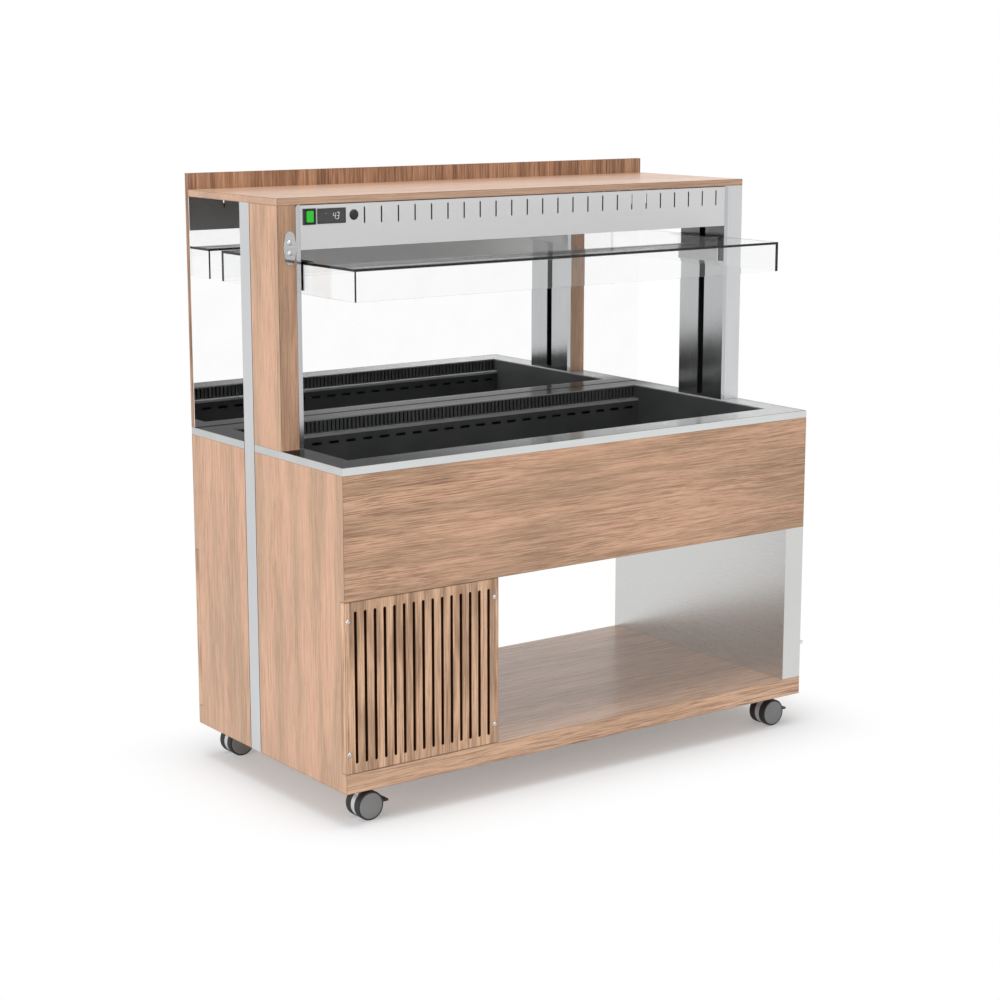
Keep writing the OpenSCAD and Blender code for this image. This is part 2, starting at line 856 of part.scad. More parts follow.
// Five-bladed fan on the motor's shaft
module condenser_fan() {
    hub_r = 22;
    blades = 5;
    blade_t = 2;
    blade_w = 52;
    blade_twist = 35;
    root = 4;
    color(black) translate([fan_x, condenser_y1 + fan_gap, fan_z]) difference() {
        union() {
            along_y(hub_r, fan_hub_l);
            for (i = [0 : blades - 1]) rotate([0, i * 360 / blades, 0]) intersection() {
                translate([hub_r - root, fan_hub_l / 2, 0]) rotate([blade_twist, 0, 0])
                    translate([0, -blade_t / 2, -blade_w / 2])
                        cube([fan_d / 2 - hub_r + root, blade_t, blade_w]);
                along_y(fan_d / 2, fan_hub_l);
            }
        }
        translate([0, hub_face, 0]) along_y(shaft_d / 2 + running_gap, fan_hub_l);
    }
}

// Run of tube between points, with a ball at each corner
module tube_run(points) {
    for (i = [0 : len(points) - 2]) {
        step = points[i + 1] - points[i];
        length = norm(step);
        translate(points[i]) rotate([0, acos(step[2] / length), atan2(step[1], step[0])])
            cylinder(d = pipe_d, h = length);
        if (i > 0) translate(points[i]) sphere(d = pipe_d);
    }
}

// Refrigerant lines: coil to compressor, compressor to condenser, condenser to coil
module pipes() {
    coil_end = coil_y(coil_runs - 1);
    port_z = base_top + compressor_h / 2;
    port_shift = 0.22;
    port_dx = -compressor_d * port_shift;
    port_r = compressor_d / 2 - compressor_wall / 2;
    port_x = compressor_x + port_dx;
    port_dy = sqrt(port_r * port_r - port_dx * port_dx);
    low_z = base_top + condenser_foot_h / 2;
    header_x = 15;
    loop_room = 40;
    drain_room = 30;
    far_x = condenser_x0 + header_x;
    front_y = compressor_y - compressor_d / 2 - loop_room;
    rise_x = drain_x - drain_d / 2 - drain_room;
    color(copper) {
        tube_run([[coil_x0, coil_end, coil_z], [port_x, coil_end, coil_z], [port_x, coil_end, port_z],
            [port_x, compressor_y + port_dy, port_z]]);
        tube_run([[compressor_x, compressor_y - port_r, port_z], [compressor_x, front_y, port_z],
            [far_x, front_y, port_z], [far_x, front_y, low_z], [far_x, condenser_y1, low_z]]);
        tube_run([[rise_x, condenser_y1, low_z], [rise_x, coil_y(0), low_z], [rise_x, coil_y(0), coil_z],
            [coil_x0, coil_y(0), coil_z]]);
    }
}

// Cable outlet through the bottom board
module cable_gland() {
    bore = 8;
    nut_t = 8;
    below = 14;
    color(black) translate([gland_x, gland_y, 0]) difference() {
        union() {
            translate([0, 0, caster_h - below]) cylinder(d = gland_d - 4, h = below);
            translate([0, 0, caster_h - nut_t]) cylinder(d = gland_d + 8, h = nut_t, $fn = 6);
            translate([0, 0, caster_h]) cylinder(d = gland_d, h = base_t);
            translate([0, 0, base_top]) cylinder(d = gland_d + 8, h = nut_t, $fn = 6);
        }
        translate([0, 0, caster_h - below - 1]) cylinder(d = bore, h = base_t + below + nut_t + 2);
    }
}

// ---- Back panel, mirror and shelf ----

module back_panel() {
    color(wood_dark) difference() {
        span([-x_out, back_y, worktop_h], [x_out, y_out, shelf_h + upstand_h]);
        span([-x_out - 1, back_y - 1, worktop_h - 1], [x_out + 1, back_y + mirror_t, shelf_z0]);
    }
}

module mirror_glass() {
    color(steel_bright) span([-x_out + mirror_gap, back_y, worktop_h + mirror_gap],
        [x_out - mirror_gap, back_y + mirror_t, shelf_z0 - mirror_gap]);
}

module top_shelf() {
    color(wood_light) span([-x_out, -post_y, shelf_z0], [x_out, back_y, shelf_h]);
}

// ---- Posts ----

// Wooden angle over the front and the outer face of the left post
module cladding() {
    translate([-x_out, -post_y, worktop_h]) linear_extrude(shelf_z0 - worktop_h) union() {
        square([tube_w, cladding_t]);
        square([cladding_t, post_y + strip_y - panel_gap]);
    }
}

module cladding_left() {
    color(wood) difference() {
        cladding();
        at_oval_screws() screw_hole(oval_screw_l);
    }
}

module cladding_right() {
    color(wood) turned() cladding();
}

// Steel lining on the inner face of the left post, with a front and a rear flange
module liner() {
    x1 = -x_out + post_w;
    h = shelf_z0 - worktop_h;
    difference() {
        translate([0, 0, worktop_h]) linear_extrude(h) {
            translate([x1 - sheet_t, -post_y]) square([sheet_t, post_d]);
            for (y = [-post_y, post_y - sheet_t]) translate([x1 - flange_w, y]) square([flange_w, sheet_t]);
        }
        span([x1 - sheet_t - 1, -lift_slot_w / 2, slot_z0], [x1 + 1, lift_slot_w / 2, slot_z1]);
        translate([x1 - flange_w, -post_y - 1, shelf_z0]) rotate([-90, 0, 0])
            linear_extrude(sheet_t + 2) difference() {
                translate([-1, -1]) square(liner_corner_r + 1);
                translate([liner_corner_r, liner_corner_r]) circle(r = liner_corner_r);
            }
    }
}

module post_liners() {
    color(steel) {
        liner();
        turned() liner();
    }
}

// Channel behind the lift slot, for the left post
module guide_rail() {
    x1 = -rail_x1;
    x0 = x1 - rail_d;
    inner_w = carriage_w + 2 * carriage_gap;
    translate([0, 0, worktop_h]) linear_extrude(shelf_z0 - worktop_h) difference() {
        translate([x0, -rail_w / 2]) square([rail_d, rail_w]);
        translate([x0 + rail_wall, -inner_w / 2]) square([rail_d - rail_wall - rail_lip, inner_w]);
        translate([x0 + rail_wall, -lift_slot_w / 2]) square([rail_d, lift_slot_w]);
    }
}

module guide_rails() {
    color(black) {
        guide_rail();
        turned() guide_rail();
    }
}

// Gas spring's tube, standing on a foot that is fixed to the side panel
module gas_spring() {
    bore = spring_d - 2 * spring_wall;
    translate([-rod_x, 0, 0]) difference() {
        union() {
            translate([0, 0, spring_z0]) cylinder(d = spring_d, h = spring_z1 - spring_z0);
            span([rod_x - x_out + panel_t, -spring_d / 2, spring_z0 - spring_foot_h],
                [spring_d / 2, spring_d / 2, spring_z0]);
        }
        translate([0, 0, spring_z0]) cylinder(d = bore, h = spring_z1 - spring_z0 - spring_cap);
        translate([0, 0, spring_z0]) cylinder(r = rod_d / 2 + rod_gap, h = spring_z1 - spring_z0 + 1);
    }
}

module gas_springs() {
    color(black) {
        gas_spring();
        turned() gas_spring();
    }
}

// ---- Hood ----

// Folded panel with a row of upright slots
module hood_panel() {
    l = overall_l - 2 * post_w - 2 * hood_end_gap;
    slot_z = hood_z1 - hood_slot_drop - hood_slot_h / 2;
    difference() {
        span([-l / 2, -post_y, hood_z0], [l / 2, -post_y + hood_lip, hood_z1]);
        span([-l / 2 - 1, -post_y + sheet_t, hood_z0 + sheet_t],
            [l / 2 + 1, -post_y + hood_lip + 1, hood_z1 - sheet_t]);
        for (i = [0 : hood_slot_count - 1]) translate([hood_slot_x0 + i * hood_slot_pitch, -post_y, slot_z])
            cube([hood_slot_w, 3 * sheet_t, hood_slot_h], center = true);
    }
}

module hood_front() {
    cut = 3 * sheet_t;
    spare = 2 * body_spare;
    color(steel_bright) difference() {
        hood_panel();
        translate([rocker_cx, -post_y, control_z])
            cube([bezel_body_w + spare, cut, bezel_body_h + spare], center = true);
        translate([thermostat_cx, -post_y, control_z])
            cube([thermostat_body_w + spare, cut, thermostat_body_h + spare], center = true);
        translate([button_cx, -post_y - cut / 2, control_z]) along_y(button_cup_d / 2 + body_spare, cut);
    }
}

module hood_rear() {
    color(steel_bright) mirror([0, 1, 0]) hood_panel();
}

// Plate between the hood panels' lower lips, with a window for the lamp
module hood_floor() {
    l = overall_l - 2 * post_w - 2 * hood_end_gap;
    y = post_y - sheet_t;
    color(steel_dark) difference() {
        span([-l / 2, -y, hood_z0 + sheet_t], [l / 2, y, lamp_z0]);
        span([-lamp_l / 2 + lamp_wall, -lamp_w / 2 + lamp_wall, hood_z0],
            [lamp_l / 2 - lamp_wall, lamp_w / 2 - lamp_wall, lamp_z0 + 1]);
    }
}

// Housing of the long lamp that stands on the hood's floor
module hood_lamp() {
    color(steel) difference() {
        span([-lamp_l / 2, -lamp_w / 2, lamp_z0], [lamp_l / 2, lamp_w / 2, lamp_z0 + lamp_h]);
        span([-lamp_l / 2 + lamp_wall, -lamp_w / 2 + lamp_wall, lamp_z0 - 1],
            [lamp_l / 2 - lamp_wall, lamp_w / 2 - lamp_wall, lamp_z0 + lamp_h - lamp_wall]);
    }
}

module lamp_diffuser() {
    t = 4;
    inset = lamp_wall + panel_fit;
    color("white") span([-lamp_l / 2 + inset, -lamp_w / 2 + inset, lamp_z0 - sheet_t],
        [lamp_l / 2 - inset, lamp_w / 2 - inset, lamp_z0 - sheet_t + t]);
}

// ---- Controls ----

// Frame of the rocker switch and cup of the round button
module switch_housings() {
    back = 22;
    hole_w = rocker_w + 2 * rocker_room;
    hole_h = bezel_body_h - 2 * bezel_wall;
    color(black) {
        difference() {
            union() {
                translate([rocker_cx - bezel_w / 2, -post_y - bezel_out, control_z - bezel_h / 2])
                    cube([bezel_w, bezel_out, bezel_h]);
                translate([rocker_cx - bezel_body_w / 2, -post_y - bezel_out, control_z - bezel_body_h / 2])
                    cube([bezel_body_w, back + bezel_out, bezel_body_h]);
            }
            translate([rocker_cx - hole_w / 2, -post_y - bezel_out - 1, control_z - hole_h / 2])
                cube([hole_w, back + bezel_out + 1 - bezel_wall, hole_h]);
            translate([rocker_cx, rocker_pivot_y, control_z - bezel_h / 2])
                cylinder(r = rocker_pin_r + running_gap, h = bezel_h);
        }
        difference() {
            translate([button_cx, -post_y, control_z]) along_y(button_cup_d / 2, button_cup_l);
            translate([button_cx, -post_y - 1, control_z])
                along_y(button_d / 2 + running_gap, button_cup_l - button_stop + 1);
        }
    }
}

// Rocker with a dished face and its pivot pins, drawn with its right-hand side out
module rocker() {
    half = rocker_w / 2;
    h = bezel_body_h - 2 * bezel_wall - 2 * body_spare;
    pin_h = h + 2 * bezel_wall;
    tip = 6;
    dish = 2.5;
    back = 4;
    plan = [[-half, -tip], [0, dish - tip], [half, -tip], [half - 1, back], [-half + 1, back]];
    color(green) translate([rocker_cx, rocker_pivot_y, control_z]) rotate([0, 0, -rocker_tilt]) {
        translate([0, 0, -h / 2]) linear_extrude(h) polygon(plan);
        translate([0, 0, -pin_h / 2]) cylinder(r = rocker_pin_r, h = pin_h);
    }
}

// Temperature controller: front frame, window and body
module thermostat() {
    frame = 4;
    window_t = 1.5;
    face_x = thermostat_cx - thermostat_w / 2;
    face_y = -post_y - bezel_out;
    face_z = control_z - thermostat_h / 2;
    color(grey) {
        difference() {
            translate([face_x, face_y, face_z]) cube([thermostat_w, bezel_out, thermostat_h]);
            translate([face_x + frame, face_y - 1, face_z + frame])
                cube([thermostat_w - 2 * frame, 1 + bezel_out - window_t, thermostat_h - 2 * frame]);
        }
        translate([thermostat_cx - thermostat_body_w / 2, -post_y, control_z - thermostat_body_h / 2])
            cube([thermostat_body_w, thermostat_d, thermostat_body_h]);
    }
}

// Push button with a chamfered rim, sprung in its cup
module round_button() {
    length = button_out + button_cup_l - button_stop - button_travel - button_spare;
    r = button_d / 2;
    edge = 1.5;
    side = [[0, 0], [r - edge, 0], [r, edge], [r, length], [0, length]];
    color(black) translate([button_cx, -post_y - button_out, control_z])
        rotate([-90, 0, 0]) rotate_extrude() polygon(side);
}

// ---- Small parts ----

module at_oval_screws() {
    for (s = [-1, 1]) translate([oval_x, -post_y, oval_z + s * oval_screw_pitch / 2])
        rotate([90, 0, 0]) children();
}

module oval_plate() {
    narrow = 0.36;
    end_r = oval_w * narrow;
    color(steel_bright) difference() {
        translate([oval_x, -post_y, oval_z]) rotate([90, 0, 0]) linear_extrude(oval_t) hull() {
            circle(d = oval_w);
            for (s = [-1, 1]) translate([0, s * (oval_h / 2 - end_r)]) circle(r = end_r);
        }
        at_oval_screws() screw_hole(oval_screw_l);
    }
}

// Pegs on the right-hand side that keep the counter off a wall
module side_buffers() {
    y = y_out - buffer_d / 2 - 1;
    color(pale) for (s = [-1, 1])
        translate([x_out, s * y, buffer_z]) along_x(buffer_d / 2, buffer_out);
}

// ---- Canopy ----

module canopy_top() {
    color(clear) span([-canopy_x, -canopy_y, canopy_z1 - canopy_glass], [canopy_x, canopy_y, canopy_z1]);
}

module canopy_skirt() {
    z1 = canopy_z1 - canopy_glass;
    window_gap = 2;
    color(clear) {
        for (s = [-1, 1]) translate([0, s * (canopy_y - canopy_glass / 2), (canopy_z0 + z1) / 2])
            cube([2 * canopy_x, canopy_glass, z1 - canopy_z0], center = true);
        for (s = [-1, 1]) difference() {
            translate([s * (canopy_x - canopy_glass / 2), 0, (canopy_z0 + z1) / 2])
                cube([canopy_glass, canopy_d - 2 * canopy_glass, z1 - canopy_z0], center = true);
            translate([s * canopy_x, 0, arm_z0 + arm_h / 2])
                cube([3 * canopy_glass, arm_w + 2 * window_gap, arm_h + 2 * window_gap], center = true);
        }
    }
}

// Angle bracket inside the canopy, arm through the slot and carriage in the rail, for the left post
module canopy_bracket() {
    half = bracket_l / 2;
    screw_d = 6;
    screw_h = 2;
    screw_inset = 12;
    span([-bracket_x, -half, bracket_z1 - bracket_h], [-bracket_x + bracket_t, half, bracket_z1]);
    span([-bracket_x, -half, bracket_z1 - bracket_t], [-bracket_x + bracket_flange, half, bracket_z1]);
    span([-carriage_x, -arm_w / 2, arm_z0], [-bracket_x, arm_w / 2, arm_z0 + arm_h]);
    span([-carriage_x - carriage_d, -carriage_w / 2, carriage_z0],
        [-carriage_x, carriage_w / 2, carriage_z1]);
    for (s = [-1, 1]) translate([-bracket_x + bracket_t, s * (half - screw_inset), arm_z0 + arm_h / 2])
        along_x(screw_d / 2, screw_h);
}

module canopy_brackets() {
    color(steel_bright) {
        canopy_bracket();
        turned() canopy_bracket();
    }
}

// Gas spring's rod with its piston, fixed under the carriage
module spring_rod() {
    bore = spring_d - 2 * spring_wall;
    piston_z = spring_z1 - spring_cap - piston_h - spring_stroke_spare;
    translate([-rod_x, 0, 0]) {
        translate([0, 0, piston_z]) cylinder(d = rod_d, h = carriage_z0 - piston_z);
        translate([0, 0, piston_z]) cylinder(r = bore / 2 - rod_gap, h = piston_h);
    }
}

module spring_rods() {
    color(steel_bright) {
        spring_rod();
        turned() spring_rod();
    }
}

// ---- Casters ----

module at_casters() {
    for (s = [-1, 1], y = [swivel_y_front, swivel_y_rear]) translate([s * swivel_x, y, 0]) children();
}

module plate_corners() {
    half = plate_hole_pitch / 2;
    for (i = [-1, 1], j = [-1, 1]) translate([i * half, j * half, 0]) children();
}

// Square plates with the fixed swivel pins
module caster_plates() {
    color(steel_bright) at_casters() {
        difference() {
            translate([-plate_l / 2, -plate_l / 2, caster_h - plate_t]) cube([plate_l, plate_l, plate_t]);
            plate_corners() translate([0, 0, caster_h - plate_t - 1])
                cylinder(d = caster_screw_d + hole_gap, h = plate_t + 2);
        }
        translate([0, 0, kingpin_z0 + 1]) cylinder(d = kingpin_d, h = caster_h - plate_t - kingpin_z0 - 1);
    }
}

module caster_screws() {
    head_h = 3;
    color(steel) at_casters() plate_corners() {
        translate([0, 0, caster_h - plate_t - head_h]) cylinder(d = caster_screw_d + 4, h = head_h);
        translate([0, 0, caster_h - plate_t]) cylinder(d = caster_screw_d, h = caster_screw_l);
    }
}

// Swivel housing between the wheels, with the fixed axle. The swivel axis is at x = 0, y = 0.
module caster_frame(braked) {
    neck_r = 15;
    neck_x = 13;
    pin_x = caster_trail + pedal_pin_x;
    color(silver) {
        difference() {
            union() {
                translate([caster_trail, -housing_w / 2, wheel_r]) along_y(housing_r, housing_w);
                span([-neck_x, -housing_w / 2, wheel_r], [neck_x, housing_w / 2, housing_neck_z]);
                translate([0, 0, housing_neck_z]) cylinder(r = neck_r, h = housing_top - housing_neck_z);
            }
            translate([0, 0, kingpin_z0])
                cylinder(r = kingpin_d / 2 + running_gap, h = housing_top - kingpin_z0 + 1);
            if (braked) pedal_pocket();
        }
        translate([caster_trail, -axle_span, wheel_r]) along_y(axle_d / 2, 2 * axle_span);
        if (braked) translate([pin_x, -housing_w / 2, pedal_pin_z]) along_y(pedal_pin_d / 2, housing_w);
    }
}

// Room for the pedal's arm in the housing
module pedal_pocket() {
    spare = 0.5;
    behind = 8;
    below = 18;
    above = 8;
    translate([caster_trail + pedal_pin_x - behind, -pedal_arm_w / 2 - spare, pedal_pin_z - below])
        cube([housing_r, pedal_arm_w + 2 * spare, below + above]);
}

// One wheel on its axle: core and tyre, outer face at +y
module wheel() {
    face_r = wheel_face_d / 2;
    round_r = 3;
    dome = 0.8;
    bevel = 1.2;
    hub_wall = 5;
    bore_l = wheel_w - hub_wall;
    core = [[0, 0], [face_r, 0], [face_r, wheel_w - bevel], [face_r - bevel, wheel_w],
        [face_r * 0.8, wheel_w + dome / 2], [face_r * 0.4, wheel_w + dome], [0, wheel_w + dome]];
    translate([0, wheel_gap / 2, 0]) {
        color(steel) difference() {
            rotate([-90, 0, 0]) rotate_extrude() polygon(core);
            translate([0, -1, 0]) along_y(axle_d / 2 + running_gap, bore_l + 1);
        }
        color(rubber) rotate([-90, 0, 0]) rotate_extrude() difference() {
            translate([face_r, 0]) square([wheel_r - face_r, wheel_w]);
            for (y = [0, wheel_w - round_r]) difference() {
                translate([wheel_r - round_r, y]) square([round_r + 1, round_r]);
                translate([wheel_r - round_r, y == 0 ? round_r : wheel_w - round_r]) circle(r = round_r);
            }
        }
    }
}

module caster_wheels() {
    translate([caster_trail, 0, wheel_r]) {
        wheel();
        mirror([0, 1, 0]) wheel();
    }
}

// Brake lever: arm in the housing's pocket, tread outside the wheels
module caster_pedal() {
    arm_r = 5;
    tread_t = 5;
    tread_x = wheel_r + 2;
    arm_z = -pedal_arm_t / 2;
    color(black) translate([caster_trail, 0, pedal_pin_z]) difference() {
        union() {
            translate([pedal_pin_x, -pedal_arm_w / 2, 0]) along_y(arm_r, pedal_arm_w);
            span([pedal_pin_x, -pedal_arm_w / 2, arm_z], [tread_x + 1, pedal_arm_w / 2, -arm_z]);
            span([tread_x, -pedal_w / 2, arm_z], [pedal_reach, pedal_w / 2, arm_z + tread_t]);
        }
        translate([pedal_pin_x, -pedal_arm_w, 0]) along_y(pedal_pin_d / 2 + running_gap, 2 * pedal_arm_w);
    }
}

base_board();
side_front_left();
side_rear_left();
side_front_right();
side_rear_right();
uprights();
end_wall();
compartment_wall();
fascia_front();
fascia_rear();
bay_ceiling();
grille_front();
grille_rear();
dome_screws();
worktop();
well_tank();
vent_strips();
evaporator_coil();
drain_valve();
drain_lever();
compressor();
condenser();
condenser_fan();
pipes();
cable_gland();
back_panel();
mirror_glass();  // mirror
top_shelf();
cladding_left();
cladding_right();
post_liners();
guide_rails();
gas_springs();
hood_front();
hood_rear();
hood_floor();
hood_lamp();
lamp_diffuser();
switch_housings();
rocker();
thermostat();
round_button();
oval_plate();
side_buffers();
canopy_top();
canopy_skirt();
canopy_brackets();
spring_rods();
caster_plates();
caster_screws();
translate([-swivel_x, swivel_y_front, 0]) caster_frame(true);  // caster_frame_fl
translate([swivel_x, swivel_y_front, 0]) caster_frame(true);  // caster_frame_fr
translate([-swivel_x, swivel_y_rear, 0]) caster_frame(false);  // caster_frame_rl
translate([swivel_x, swivel_y_rear, 0]) caster_frame(false);  // caster_frame_rr
translate([-swivel_x, swivel_y_front, 0]) caster_wheels();  // caster_wheels_fl
translate([swivel_x, swivel_y_front, 0]) caster_wheels();  // caster_wheels_fr
translate([-swivel_x, swivel_y_rear, 0]) caster_wheels();  // caster_wheels_rl
translate([swivel_x, swivel_y_rear, 0]) caster_wheels();  // caster_wheels_rr
translate([-swivel_x, swivel_y_front, 0]) caster_pedal();  // caster_pedal_fl
translate([swivel_x, swivel_y_front, 0]) caster_pedal();  // caster_pedal_fr
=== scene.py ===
import json
import bpy
import bmesh
from math import pi, sin, cos, radians
from mathutils import Vector, Matrix


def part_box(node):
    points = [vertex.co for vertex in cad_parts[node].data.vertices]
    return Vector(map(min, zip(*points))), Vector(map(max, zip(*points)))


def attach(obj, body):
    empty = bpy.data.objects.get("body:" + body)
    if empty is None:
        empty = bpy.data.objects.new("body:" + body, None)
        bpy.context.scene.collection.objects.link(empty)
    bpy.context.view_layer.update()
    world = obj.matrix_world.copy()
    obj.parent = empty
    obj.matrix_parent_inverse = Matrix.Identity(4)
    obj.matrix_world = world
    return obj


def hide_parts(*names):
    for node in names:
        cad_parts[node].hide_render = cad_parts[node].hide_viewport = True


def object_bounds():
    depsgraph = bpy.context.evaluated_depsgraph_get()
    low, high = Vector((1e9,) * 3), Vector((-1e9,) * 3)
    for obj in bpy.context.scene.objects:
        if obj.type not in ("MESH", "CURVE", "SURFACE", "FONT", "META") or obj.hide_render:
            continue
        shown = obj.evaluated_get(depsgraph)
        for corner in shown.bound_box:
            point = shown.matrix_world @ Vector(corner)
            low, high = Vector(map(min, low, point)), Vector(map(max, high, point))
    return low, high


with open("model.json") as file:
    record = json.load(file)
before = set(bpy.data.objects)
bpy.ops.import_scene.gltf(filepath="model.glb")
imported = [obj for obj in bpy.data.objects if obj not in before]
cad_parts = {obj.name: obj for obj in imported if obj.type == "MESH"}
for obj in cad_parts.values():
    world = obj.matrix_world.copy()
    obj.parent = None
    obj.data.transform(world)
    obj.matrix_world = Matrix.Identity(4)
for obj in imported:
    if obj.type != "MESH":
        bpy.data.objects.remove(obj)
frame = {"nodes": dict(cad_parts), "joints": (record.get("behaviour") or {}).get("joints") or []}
nodes = frame["nodes"]
pivots = {joint["child"]: joint["pos_m"] for joint in frame["joints"] if "pos_m" in joint}
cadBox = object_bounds()
print("salad bar: frame loaded with", len(nodes), "nodes")


def screenColour(red, green, blue):
    # a colour as seen on screen, 0 to 255, as the linear colour that a shader takes
    def channel(value):
        value = value / 255
        return value / 12.92 if value <= 0.04045 else ((value + 0.055) / 1.055) ** 2.4
    return (channel(red), channel(green), channel(blue), 1.0)


def put(tree, kind, sockets=None, **traits):
    # adds a node; a socket value is either a plain value or another node's output
    node = tree.nodes.new(kind)
    for trait, value in traits.items():
        setattr(node, trait, value)
    for name, value in (sockets or {}).items():
        if isinstance(value, bpy.types.NodeSocket):
            tree.links.new(value, node.inputs[name])
        else:
            node.inputs[name].default_value = value
    return node


def mathNode(tree, operation, first, second=0.5, clamp=False):
    node = put(tree, "ShaderNodeMath", {0: first, 1: second}, operation=operation, use_clamp=clamp)
    return node.outputs[0]


def product(tree, first, second, clamp=False):
    return mathNode(tree, "MULTIPLY", first, second, clamp)


def vectorMath(tree, operation, first, second):
    return put(tree, "ShaderNodeVectorMath", {0: first, 1: second}, operation=operation).outputs[0]


def scaledBy(tree, vector, factor):
    node = put(tree, "ShaderNodeVectorMath", {0: vector, "Scale": factor}, operation="SCALE")
    return node.outputs[0]


def remap(tree, value, low, high, outLow=0.0, outHigh=1.0):
    sockets = {"Value": value, "From Min": low, "From Max": high, "To Min": outLow, "To Max": outHigh}
    return put(tree, "ShaderNodeMapRange", sockets).outputs["Result"]


def mixColour(tree, amount, first, second, blend="MIX"):
    sockets = {0: amount, 6: first, 7: second}
    return put(tree, "ShaderNodeMix", sockets, data_type="RGBA", blend_type=blend).outputs[2]


def stretched(tree, vector, along, across):
    # noise detail per metre along X and across it
    return vectorMath(tree, "MULTIPLY", vector, (along, across, across))


def noise(tree, vector, detail=2.0, roughness=0.5, scale=1.0):
    sockets = {"Vector": vector, "Scale": scale, "Detail": detail, "Roughness": roughness}
    return put(tree, "ShaderNodeTexNoise", sockets).outputs["Fac"]


def startGroup(name, inputs, outputs):
    group = bpy.data.node_groups.new(name, "ShaderNodeTree")
    for label, kind, value in inputs:
        socket = group.interface.new_socket(name=label, in_out="INPUT", socket_type=kind)
        if value is not None:
            socket.default_value = value
    for label, kind in outputs:
        group.interface.new_socket(name=label, in_out="OUTPUT", socket_type=kind)
    return group, put(group, "NodeGroupInput").outputs, put(group, "NodeGroupOutput")


def finishGroup(group, exitNode, results):
    for label, socket in results.items():
        group.links.new(socket, exitNode.inputs[label])
    return group


# detail per metre, along the grain and across it
grainDetail = {"wander": (1.4, 3.5), "band": (0.12, 1.0), "zone": (0.9, 9.0), "ring": (1.1, 26.0),
               "streak": (2.6, 150.0), "thread": (9.0, 420.0), "pore": (26.0, 820.0)}
# where each noise starts and ends to show
grainEdges = {"band": (0.42, 0.6), "zone": (0.4, 0.62), "ring": (0.3, 1.0), "streak": (0.5, 0.7),
              "line": (0.5, 0.61), "pale": (0.46, 0.36), "pore": (0.58, 0.7)}
grainTones = {"pale": (244, 206, 172), "paleShare": 0.4, "pore": (0.12, 0.06, 0.03, 1.0), "lineRelief": 0.4}
grainSatin = (0.36, 0.46)
zoneDepth = 0.55


def buildWoodGrain():
    # printed laminate: wide bands, wavy rings, streaks, fine lines and pores; X runs along the grain
    colour, number, vector = "NodeSocketColor", "NodeSocketFloat", "NodeSocketVector"
    group, entry, exitNode = startGroup("woodGrain", [
        ("Vector", vector, None), ("Light", colour, None), ("Dark", colour, None),
        ("Streak", colour, None), ("Band Width", number, 9.0), ("Bands", number, 0.8),
        ("Figure", number, 0.0), ("Waviness", number, 0.02), ("Streaks", number, 0.5),
        ("Fine Lines", number, 0.4), ("Pores", number, 0.3)],
        [("Color", colour), ("Roughness", number), ("Height", number)])
    wander = noise(group, stretched(group, entry["Vector"], *grainDetail["wander"]), 2.0)
    shift = product(group, mathNode(group, "SUBTRACT", wander, 0.5), entry["Waviness"])
    offset = put(group, "ShaderNodeCombineXYZ", {"Y": shift, "Z": shift}).outputs[0]
    place = vectorMath(group, "ADD", entry["Vector"], offset)

    def shown(key, value):
        return remap(group, value, *grainEdges[key])

    def layer(key, detail, roughness=0.5):
        return noise(group, stretched(group, place, *grainDetail[key]), detail, roughness)

    bandPlace = scaledBy(group, stretched(group, place, *grainDetail["band"]), entry["Band Width"])
    band = shown("band", noise(group, bandPlace, 2.0))
    zone = shown("zone", layer("zone", 2.0))
    sockets = {"Vector": stretched(group, place, *grainDetail["ring"]), "Scale": 1.0, "Distortion": 4.0,
               "Detail": 2.0, "Detail Scale": 0.9, "Detail Roughness": 0.6}
    ring = put(group, "ShaderNodeTexWave", sockets, wave_type="BANDS", bands_direction="DIAGONAL",
               wave_profile="SAW").outputs["Fac"]
    ringMask = product(group, product(group, shown("ring", ring), zone), entry["Figure"])
    streak = shown("streak", layer("streak", 3.0, 0.6))
    threads = layer("thread", 3.0, 0.6)
    line = shown("line", threads)
    pale = shown("pale", threads)
    depth = mathNode(group, "ADD", product(group, zone, zoneDepth), 1.0 - zoneDepth)
    pore = shown("pore", layer("pore", 1.0))
    base = mixColour(group, product(group, band, entry["Bands"], True), entry["Light"], entry["Dark"])
    base = mixColour(group, ringMask, base, entry["Streak"])
    base = mixColour(group, product(group, streak, entry["Streaks"], True), base, entry["Streak"])
    lineMask = product(group, product(group, line, depth), entry["Fine Lines"], True)
    base = mixColour(group, lineMask, base, entry["Streak"])
    paleMask = product(group, product(group, pale, entry["Fine Lines"]), grainTones["paleShare"], True)
    base = mixColour(group, paleMask, base, screenColour(*grainTones["pale"]))
    dots = product(group, pore, entry["Pores"], True)
    base = mixColour(group, dots, base, grainTones["pore"])
    carved = mathNode(group, "ADD", product(group, line, grainTones["lineRelief"]), dots)
    relief = mathNode(group, "SUBTRACT", 1.0, carved)
    satin = remap(group, streak, 0.0, 1.0, *grainSatin)
    return finishGroup(group, exitNode, {"Color": base, "Roughness": satin, "Height": relief})


